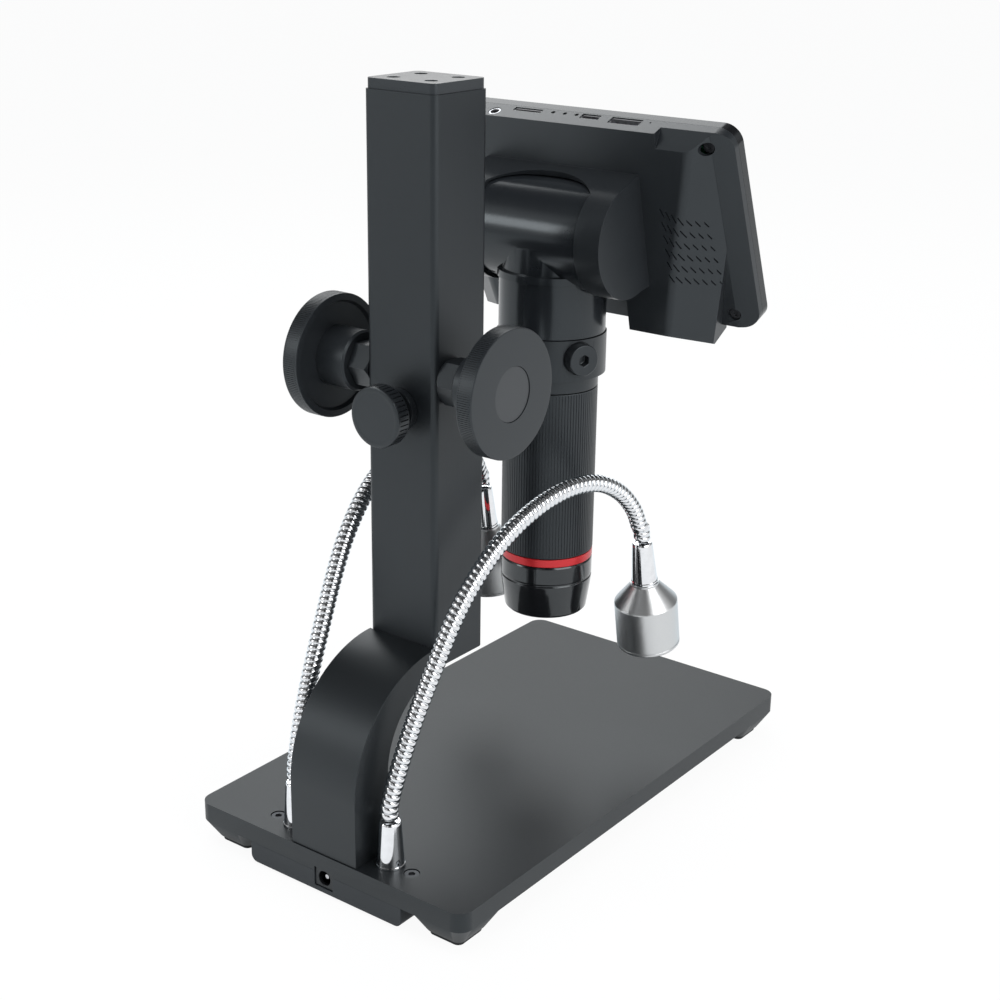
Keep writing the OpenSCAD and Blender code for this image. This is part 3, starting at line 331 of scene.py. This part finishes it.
def bright(name, tone, rough, scale, lines=(1, 1, 1), depth=0.0):
    """Bare or plated metal; lines stretches its scratches, such as (1, 60, 60) for rings round X."""
    finish = Finish(name)
    scratch = finish.noise(scale * max(lines), 3.0, lines)
    shade = tuple(c * 0.82 for c in tone)
    finish.set(Base_Color=finish.blend(scratch, shade, tone), Metallic=1.0,
               Roughness=scratch * 0.14 + (rough - 0.07))
    if depth:
        finish.bump(scratch, depth)
    return finish


turned_steel = bright("turned_steel", (0.62, 0.62, 0.64), rough=0.25, scale=0.2 * mm, lines=(1, 60, 60),
                      depth=0.004 * mm)
eased("dc_pin", 0.4 * mm, turned_steel, "power_pin")
screw_black = satin("screw_blackened", (0.02, 0.02, 0.022), (0.05, 0.05, 0.055),
                    rough=0.32, grain=0.2 * mm, depth=0.004 * mm, metallic=0.6)
eased("base_screws", 0.25 * mm, screw_black, "plate_screws")
board_green = Finish("board_coated")
tracks = board_green.node("ShaderNodeTexBrick", {}, board_green.place(), Scale=260.0, Mortar_Size=0.03,
                          Color1=(0.01, 0.09, 0.035), Color2=(0.012, 0.11, 0.045), Mortar=(0.02, 0.16, 0.07))
board_green.set(Base_Color=tracks, Roughness=board_green.noise(0.6 * mm) * 0.2 + 0.25)
for board in ("lamp_driver", "imaging_board", "main_board"):
    eased(board, 0.12 * mm, board_green, board + "_coated", segments=1)

# ---- Bracket ----
# One solid C-shaped arm, cut from thick plate and coated like the stage. It is
# bolted up through the stage, and its curve carries the column's foot.
eased("bracket", 0.6 * mm, plate_coat, "bracket_coated", segments=3)
eased("bracket_bolts", 0.3 * mm, screw_black, "bracket_bolts_blackened")

# ---- Column ----
# A square aluminium tube with rounded corners, black anodised, its draw marks just
# seen along its length. A plastic cap held by four small screws closes its top.
column_coat = Finish("column_anodised")
draw = column_coat.noise(0.35 * mm, 3.0, (1, 1, 0.02))
speck = column_coat.noise(0.3 * mm, 2.0)
tone = column_coat.noise(60 * mm, 1.0)
column_coat.set(Base_Color=column_coat.blend(tone, (0.0065, 0.0078, 0.0095), (0.0105, 0.012, 0.014)),
                Roughness=draw * 0.10 + speck * 0.06 + 0.34)
column_coat.bump(draw * 0.5 + speck, 0.008 * mm)
eased("column", 0.4 * mm, column_coat, "column_anodised")
cap_plastic = satin("cap_moulded", (0.014, 0.0155, 0.0175), (0.022, 0.024, 0.027),
                    rough=0.3, grain=0.45 * mm, depth=0.012 * mm)
eased("column_cap", 0.45 * mm, cap_plastic, "column_cap_moulded")
eased("cap_screws", 0.2 * mm, screw_black, "cap_screws_blackened")
eased("column_plug", 0.3 * mm, column_coat, "column_plug_machined")

# ---- Focus drive ----
# Hexagonal bushes carry a steel shaft with a small pinion. Each end has a large
# turned knob with a fine straight knurl, a flat outer face and a satin disc in it.
turned_black = satin("black_turned", (0.0085, 0.0098, 0.0115), (0.0135, 0.015, 0.017),
                     rough=0.33, grain=0.22 * mm, depth=0.006 * mm)
for side in ("left", "right"):
    eased("shaft_bush_" + side, 0.45 * mm, turned_black, "hexagon_bush_" + side, angle=25)
eased("pinion_shaft", 0.08 * mm, turned_steel, "pinion_shaft_turned", segments=1)
shaft_low, shaft_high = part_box("pinion_shaft")
shaft_y = (shaft_low.y + shaft_high.y) / 2
shaft_z = (shaft_low.z + shaft_high.z) / 2


def pick(piece, test):
    """Goes to edit mode with the faces selected whose middle and normal pass a test."""
    deselect()
    piece.select_set(True)
    bpy.context.view_layer.objects.active = piece
    bpy.ops.object.mode_set(mode="EDIT")
    bpy.ops.mesh.select_mode(type="FACE")
    bpy.ops.mesh.select_all(action="DESELECT")
    bpy.ops.object.mode_set(mode="OBJECT")
    for face in piece.data.polygons:
        face.select = test(face.center, face.normal)
    bpy.ops.object.mode_set(mode="EDIT")


def pick_end(piece, up):
    """Goes to edit mode with a disc's upper end face selected, or its lower one where up is -1."""
    pick(piece, lambda middle, normal: normal.z * up > 0.99 and abs(middle.x) + abs(middle.y) < 0.1 * mm)


def knurled(radius, thick, ribs, depth, edge, groove=0.5):
    """A disc round Z from 0 to thick, its rim cut with straight grooves between two broken edges."""
    deselect()
    bpy.ops.mesh.primitive_cylinder_add(vertices=ribs * 2, radius=radius, depth=thick,
                                        location=(0, 0, thick / 2))
    disc = bpy.context.active_object
    bpy.ops.object.transform_apply(location=True, rotation=True, scale=True)
    pick(disc, lambda middle, normal: abs(normal.z) > 0.9)
    bpy.ops.mesh.bevel(offset=edge, segments=2, affect="EDGES")
    bpy.ops.object.mode_set(mode="OBJECT")
    step = math.pi / ribs

    def in_groove(middle, normal):
        place = math.floor(math.atan2(middle.y, middle.x) / step + 100 * ribs)
        return abs(normal.z) < 0.1 and place % 2 == 0

    pick(disc, in_groove)
    side_wall = radius * step * (0.5 - groove / 2) + 1e-6
    bpy.ops.mesh.inset(thickness=side_wall, depth=0, use_individual=True)
    bpy.ops.mesh.extrude_faces_move(TRANSFORM_OT_shrink_fatten={"value": -depth})
    bpy.ops.object.mode_set(mode="OBJECT")
    return disc


def laid(piece, matrix):
    """Puts a piece in its place and leaves its object at the origin."""
    deselect()
    piece.matrix_world = matrix
    piece.select_set(True)
    bpy.context.view_layer.objects.active = piece
    bpy.ops.object.transform_apply(location=True, rotation=True, scale=True)


def turned(profile, sides=96):
    """Turns a solid round Z from (radius, height) pairs, from one flat end to the other."""
    deselect()
    (r, z), rest = profile[0], profile[1:]
    bpy.ops.mesh.primitive_circle_add(vertices=sides, radius=r, fill_type="NGON", location=(0, 0, z))
    piece = bpy.context.active_object
    bpy.ops.object.transform_apply(location=True, rotation=True, scale=True)
    bpy.ops.object.mode_set(mode="EDIT")
    bpy.ops.mesh.select_mode(type="FACE")
    bpy.ops.mesh.select_all(action="SELECT")
    for radius, height in rest:
        bpy.ops.mesh.extrude_region_move(TRANSFORM_OT_translate={"value": (0, 0, height - z)})
        bpy.ops.transform.resize(value=(radius / r, radius / r, 1), center_override=(0, 0, height))
        r, z = radius, height
    bpy.ops.mesh.select_all(action="SELECT")
    bpy.ops.mesh.normals_make_consistent(inside=False)
    bpy.ops.object.mode_set(mode="OBJECT")
    return piece


def joined(*pieces):
    deselect()
    for piece in pieces:
        piece.select_set(True)
    bpy.context.view_layer.objects.active = pieces[0]
    bpy.ops.object.join()
    return pieces[0]


knob_r = 24 * mm
knob_t = 7 * mm
knob_edge = 0.5 * mm
knob_ribs = 180
seat_r = 10.3 * mm
seat_deep = 0.68 * mm
hub_r = 11.7 * mm
hub_edge = 0.8 * mm
rim_wide = 2.2 * mm
rim_high = 1.6 * mm
hub_into = 2.2 * mm
lathe_lines = 9000.0
knob_face = Finish("knob_turned")
from_shaft = knob_face.node("ShaderNodeMapping", {}, knob_face.place(), Location=(0, -shaft_y, -shaft_z))
rings = knob_face.node("ShaderNodeSeparateXYZ", {}, from_shaft)
ring_r = rings.sum("SQRT", rings.out("Y") * rings.out("Y") + rings.out("Z") * rings.out("Z"))
lathe = knob_face.node("ShaderNodeTexNoise", {"noise_dimensions": "1D"}, W=ring_r * lathe_lines, Scale=1.0,
                       Detail=2.0)
speck = knob_face.noise(0.22 * mm, 2.0)
knob_face.set(Base_Color=knob_face.blend(lathe, (0.0115, 0.013, 0.015), (0.016, 0.018, 0.0205)),
              Roughness=lathe * 0.08 + speck * 0.05 + 0.34)
knob_face.bump(lathe * 0.4 + speck, 0.004 * mm)
for side, sign in (("left", -1), ("right", 1)):
    low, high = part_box("focus_knob_" + side)
    outer = max(abs(low.x), abs(high.x))
    hub_end = min(abs(low.x), abs(high.x)) - outer
    disc = knurled(knob_r, knob_t, knob_ribs, depth=0.3 * mm, edge=knob_edge)
    pick_end(disc, 1)
    bpy.ops.mesh.inset(thickness=knob_r - knob_edge - seat_r, depth=0)
    bpy.ops.mesh.inset(thickness=0.0001 * mm, depth=-seat_deep)
    bpy.ops.object.mode_set(mode="OBJECT")
    pick_end(disc, -1)
    bpy.ops.mesh.inset(thickness=rim_wide, depth=0)
    bpy.ops.mesh.inset(thickness=0.9 * mm, depth=-rim_high)
    bpy.ops.object.mode_set(mode="OBJECT")
    hub_back = hub_end + knob_t
    hub = turned([(hub_r - hub_edge, hub_back), (hub_r, hub_back + hub_edge), (hub_r, hub_into)])
    knob = joined(disc, hub)
    tip = Matrix.Rotation(math.radians(90 * sign), 4, "Y")
    laid(knob, Matrix.Translation((sign * (outer - knob_t), shaft_y, shaft_z)) @ tip)
    settle(knob, "knurled_focus_knob_" + side, knob_face, ["focus_knob_" + side], 28)
inlay_satin = Finish("inlay_satin")
speck = inlay_satin.noise(0.3 * mm, 3.0)
inlay_satin.set(Base_Color=inlay_satin.blend(speck, (0.026, 0.027, 0.029), (0.036, 0.037, 0.040)),
                Roughness=speck * 0.15 + 0.3)
inlay_satin.bump(speck, 0.005 * mm)
eased("knob_inlays", 0.15 * mm, inlay_satin, "knob_discs")

# ---- Lock knob ----
# A small knob with square ribs behind the column. Its stud runs through a bush and
# presses on the rack inside, to hold the focus where it is set.
eased("lock_bush", 0.4 * mm, turned_black, "lock_bush_turned")
eased("lock_stud", 0.3 * mm, turned_steel, "lock_stud_turned")
low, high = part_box("lock_knob")
lock_z = (low.z + high.z) / 2
lock_t = 6.5 * mm
lock_hub_r = 7 * mm
lock_hub_edge = 0.6 * mm
lock = knurled(11.5 * mm, lock_t, 40, depth=0.65 * mm, edge=0.8 * mm)
pick_end(lock, 1)
bpy.ops.mesh.inset(thickness=1.2 * mm, depth=0)
bpy.ops.mesh.inset(thickness=0.35 * mm, depth=-0.15 * mm)
bpy.ops.object.mode_set(mode="OBJECT")
hub_back = lock_t - (high.y - low.y)
hub = turned([(lock_hub_r - lock_hub_edge, hub_back), (lock_hub_r, hub_back + lock_hub_edge),
              (lock_hub_r, 1 * mm)])
lock = joined(lock, hub)
facing_back = Matrix.Rotation(math.radians(-90), 4, "X")
laid(lock, Matrix.Translation((0, high.y - lock_t, lock_z)) @ facing_back)
settle(lock, "ribbed_lock_knob", turned_black, ["lock_knob"], 28)

# ---- Carriage ----
# A slider with a steel rack runs inside the column. Its arm comes out through a
# slot and ends in the round collar that holds the microscope with a clamp screw.
eased("slider", 0.4 * mm, turned_black, "slider_machined")
eased("rack", 0.06 * mm, turned_steel, "rack_cut", segments=1)
eased("holder_arm", 0.45 * mm, turned_black, "holder_arm_machined")
eased("clamp_screw", 0.5 * mm, turned_black, "clamp_screw_blackened", segments=3)

# ---- Microscope ----
# A turned barrel with a wide neck, and a moulded head on top that the screen tilts
# on. Below the ribbed grip come a red ring and a glossy nose with its glass window.
head_plastic = satin("head_moulded", (0.0095, 0.011, 0.013), (0.014, 0.016, 0.0185),
                     rough=0.2, grain=0.5 * mm, depth=0.0015 * mm)
eased("head_housing", 0.7 * mm, head_plastic, "head_moulded", segments=3)
eased("retaining_ring", 0.3 * mm, turned_black, "retaining_ring_turned")
eased("lens_barrel", 0.2 * mm, turned_black, "lens_barrel_turned", segments=1)
eased("pivot_pin", 0.4 * mm, turned_steel, "pivot_pin_turned")
red_coat = satin("red_anodised", (0.50, 0.018, 0.022), (0.62, 0.03, 0.035),
                 rough=0.3, grain=0.25 * mm, depth=0.004 * mm, metallic=0.35)
eased("red_ring", 0.25 * mm, red_coat, "red_ring_anodised")
nose_gloss = satin("nose_polished", (0.006, 0.0065, 0.0075), (0.009, 0.0095, 0.0105),
                   rough=0.13, grain=0.5 * mm, depth=0.001 * mm)
nose_gloss.set(Coat_Weight=0.4, Coat_Roughness=0.08)
eased("nose", 0.18 * mm, nose_gloss, "nose_polished", angle=20)
clear_glass = Finish("lens_glass")
dust = clear_glass.noise(3 * mm, 4.0)
clear_glass.set(Base_Color=(0.92, 0.96, 0.98), Roughness=dust * 0.05 + 0.01, Transmission_Weight=0.9, IOR=1.5)
for glass in ("front_window", "objective_lens"):
    eased(glass, 0.25 * mm, clear_glass, glass + "_polished")

# ---- Focus grip ----
# The sleeve that is turned to focus. It is black anodised aluminium with fine
# straight grooves all round and a plain narrow land at either end.
low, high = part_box("focus_grip")
scope_y = (low.y + high.y) / 2
grip_r = 19.4 * mm
grip = knurled(grip_r, high.z - low.z, 96, depth=0.28 * mm, edge=0.35 * mm, groove=0.42)
laid(grip, Matrix.Translation((0, scope_y, low.z)))
grip_coat = Finish("grip_anodised")
speck = grip_coat.noise(0.25 * mm, 2.0)
tone = grip_coat.noise(18 * mm, 1.0)
grip_coat.set(Base_Color=grip_coat.blend(tone, (0.0095, 0.011, 0.013), (0.014, 0.016, 0.0185)),
              Roughness=speck * 0.1 + 0.36)
grip_coat.bump(speck, 0.006 * mm)
settle(grip, "grooved_focus_grip", grip_coat, ["focus_grip"], 28)

# ---- Screen ----
# A moulded rear cover with round lugs and a deepening back, a glossy front frame,
# the display under its glass, and the sockets and push buttons on their board.
cover_plastic = satin("cover_moulded", (0.011, 0.0125, 0.0145), (0.0165, 0.0185, 0.021),
                      rough=0.34, grain=0.55 * mm, depth=0.01 * mm)
screen_middle = (0, -26.5 * mm, 235.7 * mm)
screen_lean = math.radians(-22)
screen_place = Matrix.Translation(screen_middle) @ Matrix.Rotation(screen_lean, 4, "X")
cover = copied("rear_cover")
cover.data.transform(screen_place.inverted())


def round_edges(piece, test, width, segments):
    """Rounds the sharp edges whose middle and span, in millimetres, pass a test."""
    deselect()
    piece.select_set(True)
    bpy.context.view_layer.objects.active = piece
    bpy.ops.object.mode_set(mode="EDIT")
    bpy.ops.mesh.select_mode(type="EDGE")
    bpy.ops.mesh.select_all(action="DESELECT")
    bpy.ops.mesh.edges_select_sharp(sharpness=math.radians(24))
    bpy.ops.object.mode_set(mode="OBJECT")
    sharp = [edge.index for edge in piece.data.edges if edge.select]
    bpy.ops.object.mode_set(mode="EDIT")
    bpy.ops.mesh.select_all(action="DESELECT")
    bpy.ops.object.mode_set(mode="OBJECT")
    for index in sharp:
        edge = piece.data.edges[index]
        low_end, high_end = (piece.data.vertices[end].co / mm for end in edge.vertices)
        edge.select = test((low_end + high_end) / 2, high_end - low_end)
    bpy.ops.object.mode_set(mode="EDIT")
    bpy.ops.mesh.bevel(offset=width, segments=segments, affect="EDGES", clamp_overlap=True)
    bpy.ops.object.mode_set(mode="OBJECT")


# The cover's own lines, in millimetres from the middle of the screen.
lug_side = 36.4
screw_side = 65
screw_heights = (33.5, -40.5)
cover_half = 72.5
cover_top = 37.8
cover_foot = -44.6
wall_front = -19


def on_flank(middle, span):
    """A long upright edge of the raised back, clear of the lugs."""
    return 38 < abs(middle.x) < 60 and abs(span.z) > 25 and middle.y > -17


def beside_lug(middle, span):
    """The corner between a lug's flank and the raised back."""
    return abs(abs(middle.x) - lug_side) < 0.3 and abs(span.z) > 15 and -18 < middle.y < -3


def outer_edge(middle, span):
    """Any other edge that is seen, so none at the sockets, at the screws or inside."""
    by_port = middle.z > 36 and -28.5 < middle.y < -16.2 and abs(middle.x) < 41 and abs(span.y) < 6
    to_screw = min(abs(middle.z - height) for height in screw_heights)
    by_screw = abs(abs(middle.x) - screw_side) < 3.4 and to_screw < 3.4
    within = abs(middle.x) < cover_half and cover_foot < middle.z < cover_top
    return not by_port and not by_screw and not (within and middle.y < wall_front)


round_edges(cover, on_flank, 9 * mm, 8)
round_edges(cover, beside_lug, 4 * mm, 6)
round_edges(cover, outer_edge, 1.1 * mm, 3)
# Slanted sound slots over the speaker, cut about a millimetre deep. The back leans
# in towards its foot, and slopes away to its side, and each slot lies on it.
slot_size = (0.5, 2.2, 3.8)
slot_slant = math.radians(28)
slots = []
for row in range(6):
    for column in range(7):
        x = -45.5 - 2.6 * column - 0.35 * row
        z = 8 - 5.4 * row - 0.9 * column
        back_y = -9.6 - 0.148 * z
        side_y = -3 + 0.72 * (x + 42)
        deselect()
        bpy.ops.mesh.primitive_cube_add(size=mm, location=(x * mm, min(back_y, side_y) * mm, z * mm),
                                        rotation=(0, slot_slant, 0), scale=slot_size)
        bpy.ops.object.transform_apply(location=True, rotation=True, scale=True)
        slots.append(bpy.context.active_object)
cutter = joined(*slots)
worked(cover, "BOOLEAN", operation="DIFFERENCE", solver="EXACT", object=cutter)
bpy.data.objects.remove(cutter)
cover.data.transform(screen_place)
settle(cover, "rear_cover_moulded", cover_plastic, ["rear_cover"], 35)
frame_gloss = satin("frame_glossy", (0.006, 0.0062, 0.007), (0.009, 0.0092, 0.010),
                    rough=0.16, grain=0.6 * mm, depth=0.002 * mm)
eased("front_frame", 0.6 * mm, frame_gloss, "front_frame_glossy")
display_glass = Finish("display_glass")
smear = display_glass.noise(14 * mm, 3.0)
display_glass.set(Base_Color=(0.012, 0.014, 0.018), Roughness=smear * 0.04 + 0.03, Coat_Weight=1.0)
eased("screen_glass", 0.25 * mm, display_glass, "screen_glass_polished")
display = Finish("display_dark")
cells = display.node("ShaderNodeTexBrick", {}, display.place(), Scale=4000.0, Color1=(0.012, 0.014, 0.018),
                     Color2=(0.014, 0.016, 0.02), Mortar=(0.004, 0.004, 0.005))
display.set(Base_Color=cells, Roughness=display.noise(5 * mm) * 0.05 + 0.12)
eased("lcd_panel", 0.2 * mm, display, "display_panel", segments=1)
socket_steel = bright("socket_stamped", (0.66, 0.66, 0.68), rough=0.3, scale=0.4 * mm, depth=0.004 * mm)
eased("port_sockets", 0.15 * mm, socket_steel, "socket_shells", segments=1)
cell_wrap = satin("cell_film", (0.32, 0.34, 0.37), (0.4, 0.42, 0.45),
                  rough=0.35, grain=1.5 * mm, depth=0.03 * mm)
eased("battery", 0.9 * mm, cell_wrap, "battery_cell", segments=3)
cone_black = satin("speaker_cone", (0.012, 0.012, 0.012), (0.02, 0.02, 0.02),
                   rough=0.6, grain=0.6 * mm, depth=0.03 * mm)
eased("speaker", 0.4 * mm, cone_black, "speaker_round")
eased("cover_screws", 0.2 * mm, screw_black, "cover_screws_blackened")
key_plastic = satin("key_moulded", (0.02, 0.02, 0.022), (0.03, 0.03, 0.032),
                    rough=0.4, grain=0.4 * mm, depth=0.01 * mm)
for number in range(1, 6):
    eased("button_%d" % number, 0.5 * mm, key_plastic, "push_button_%d" % number, segments=3)

# ---- Gooseneck lamps ----
# Each lamp stands on a bendable steel hose, wound with a raised helical rib and
# chromed. A tapered chrome socket holds its foot and a like sleeve holds the lamp.
chrome = bright("chrome_plated", (0.86, 0.87, 0.89), rough=0.09, scale=2.5 * mm)
hose_chrome = bright("hose_chromed", (0.84, 0.85, 0.87), rough=0.13, scale=1.2 * mm)
# Each hose's way from the top of its socket, in millimetres.
routes = {
    "left": [(0, 0, 0), (0.2, -1.2, 9), (0.8, -5.4, 22), (2, -13, 39), (3.4, -23, 57), (4.4, -32, 71.5),
             (5.6, -42.5, 84), (7, -55, 94.5), (8.6, -69, 102), (10.4, -84, 106.6), (12.4, -99, 108),
             (14.3, -113, 105.4), (15.9, -125, 98.6), (17, -133.6, 89.4), (17.6, -138, 80.4),
             (17.9, -140, 73.4)],
    "right": [(0, 0, 0), (0.1, -0.8, 9), (0.6, -3.8, 22), (1.7, -10.4, 39), (3, -19, 57), (4, -27.2, 74),
              (5.2, -37, 90), (6.8, -50.5, 103.5), (8.8, -67, 112), (10.8, -84, 114.6), (12.8, -101, 112.4),
              (14.8, -116.4, 106.6), (16.4, -128, 99), (17.3, -135.2, 91), (17.7, -138.6, 84.4),
              (17.9, -140, 79)],
}
tilts = {"left": 10, "right": 8}
hose_foot = Vector((23.9, 104.4, 36.7))
straight = 7
smooth_steps = 12
pitch = 2.4
rib = [(3.05, 0.0), (3.05, 0.3), (3.3, 0.5), (3.47, 0.9), (3.5, 1.35), (3.47, 1.8), (3.3, 2.2), (3.05, pitch)]


def along(points, i, u):
    """The smooth curve through the points, at share u of its stretch i."""
    a, b, c, d = (points[max(0, min(k, len(points) - 1))] for k in (i - 1, i, i + 1, i + 2))
    bend = (2 * a - 5 * b + 4 * c - d) * u ** 2 + (3 * b - a - 3 * c + d) * u ** 3
    return 0.5 * (2 * b + (c - a) * u + bend)


def hose(side, sign):
    """Winds one hose along its way; gives the place and tilt of its upper end."""
    points = [Vector(p) for p in routes[side]]
    tilt = math.radians(tilts[side])
    out = Vector((0, -math.sin(tilt), -math.cos(tilt)))
    points = [points[0], Vector((0, 0, straight))] + points[2:-1] + [points[-1] - out * straight, points[-1]]
    way = [along(points, i, k / smooth_steps) for i in range(len(points) - 1) for k in range(smooth_steps)]
    way.append(points[-1])
    length = sum((b - a).length for a, b in zip(way, way[1:]))
    turns = round(length / pitch)
    step = length / turns
    # One turn's side line, wound up with the screw modifier.
    deselect()
    bpy.ops.mesh.primitive_plane_add(size=1, location=(0, 0, 0))
    coil = bpy.context.active_object
    bpy.ops.object.mode_set(mode="EDIT")
    bpy.ops.mesh.select_all(action="SELECT")
    bpy.ops.mesh.delete(type="ONLY_FACE")
    bpy.ops.mesh.select_all(action="DESELECT")
    bpy.ops.object.mode_set(mode="OBJECT")
    for vertex in coil.data.vertices:
        vertex.select = vertex.co.x > 0
    bpy.ops.object.mode_set(mode="EDIT")
    bpy.ops.mesh.select_mode(type="VERT")
    bpy.ops.mesh.select_all(action="INVERT")
    bpy.ops.mesh.delete(type="VERT")
    bpy.ops.mesh.select_all(action="SELECT")
    bpy.ops.mesh.subdivide(number_cuts=len(rib) - 2)
    bpy.ops.object.mode_set(mode="OBJECT")
    order = sorted(coil.data.vertices, key=lambda v: v.co.y)
    for vertex, (r, z) in zip(order, rib):
        vertex.co = (r, 0, z * step / pitch)
    worked(coil, "SCREW", angle=2 * math.pi, screw_offset=step, iterations=turns - 1, steps=24,
           render_steps=24, axis="Z", use_merge_vertices=True, merge_threshold=1e-4)
    # The path, in millimetres, with the socket's top at its start.
    line = bpy.data.curves.new("hose_way_" + side, "CURVE")
    line.dimensions = "3D"
    line.twist_mode = "MINIMUM"
    spline = line.splines.new("POLY")
    spline.points.add(len(way) - 1)
    for point, place in zip(spline.points, way):
        point.co = (*place, 1)
    guide = bpy.data.objects.new("hose_way_" + side, line)
    scene.collection.objects.link(guide)
    worked(coil, "CURVE", object=guide, deform_axis="POS_Z")
    bpy.data.objects.remove(guide)
    place = Matrix.Translation(hose_foot * mm) @ Matrix.Scale(mm, 4)
    if sign < 0:
        place = Matrix.Scale(-1, 4, (1, 0, 0)) @ place
    laid(coil, place)
    bpy.ops.object.mode_set(mode="EDIT")
    bpy.ops.mesh.select_all(action="SELECT")
    bpy.ops.mesh.normals_make_consistent(inside=False)
    bpy.ops.object.mode_set(mode="OBJECT")
    settle(coil, "gooseneck_hose_" + side, hose_chrome, ["gooseneck_" + side], 50)
    return (hose_foot + points[-1]) * mm, tilt


# The turned outlines, as (radius, height) in millimetres. A sleeve is a socket set on
# the hose's end, and its bell is measured from the same foot.
taper_h = 18.6
taper = [(2.2, 0), (5.5, 0), (5.6, 0.12), (5.6, 0.9), (5.35, 1.15), (4.25, 17.6), (4.0, 18.3),
         (3.75, taper_h), (3.2, taper_h), (3.1, 18.2)]
bell_line = [(2.0, 0), (5.9, 0), (6.0, -0.15), (6.0, -0.9), (6.15, -1.1), (13.0, -9.1), (13.25, -9.45),
             (13.3, -9.9), (13.3, -28.2), (13.15, -28.35), (13.15, -28.6), (13.3, -28.75), (13.3, -29.6),
             (12.95, -30.0), (11.9, -30.0), (11.7, -29.7), (11.7, -10.6), (4.6, -2.6), (1.0, -2.6)]
socket_foot = 18
steel_brushed = Finish("lamp_brushed")
lines = steel_brushed.noise(0.25 * mm, 3.0, (0.25, 0.25, 8))
soft = steel_brushed.noise(12 * mm, 1.0)
steel_brushed.set(Base_Color=steel_brushed.blend(lines, (0.52, 0.53, 0.54), (0.68, 0.69, 0.69)), Metallic=1.0,
                  Roughness=lines * 0.12 + soft * 0.06 + 0.24)
steel_brushed.bump(lines, 0.006 * mm)
lamp_glass = Finish("lamp_diffuser")
frost = lamp_glass.noise(0.8 * mm, 2.0)
lamp_glass.set(Base_Color=lamp_glass.blend(frost, (0.82, 0.84, 0.86), (0.9, 0.91, 0.92)),
               Roughness=frost * 0.2 + 0.2)
lamp_glass.bump(frost, 0.02 * mm)
for side, sign in (("left", -1), ("right", 1)):
    end, tilt = hose(side, sign)
    end.x *= sign
    socket = turned([(r * mm, z * mm) for r, z in taper])
    laid(socket, Matrix.Translation(Vector((sign * hose_foot.x, hose_foot.y, socket_foot)) * mm))
    settle(socket, "hose_socket_" + side, chrome, ["lamp_socket_" + side])
    head = Matrix.Translation(end) @ Matrix.Rotation(-tilt, 4, "X")
    sleeve = turned([(r * mm, (z - taper_h) * mm) for r, z in taper])
    laid(sleeve, head)
    settle(sleeve, "lamp_sleeve_" + side, chrome, ["lamp_sleeve_" + side])
    bell = turned([(r * mm, (z - taper_h) * mm) for r, z in bell_line])
    laid(bell, head)
    settle(bell, "lamp_bell_" + side, steel_brushed, ["lamp_shell_" + side])
    eased("lamp_lens_" + side, 0.3 * mm, lamp_glass, "lamp_diffuser_" + side)

# ---- Final update ----
# The view layer is brought up to date.
bpy.context.view_layer.update()
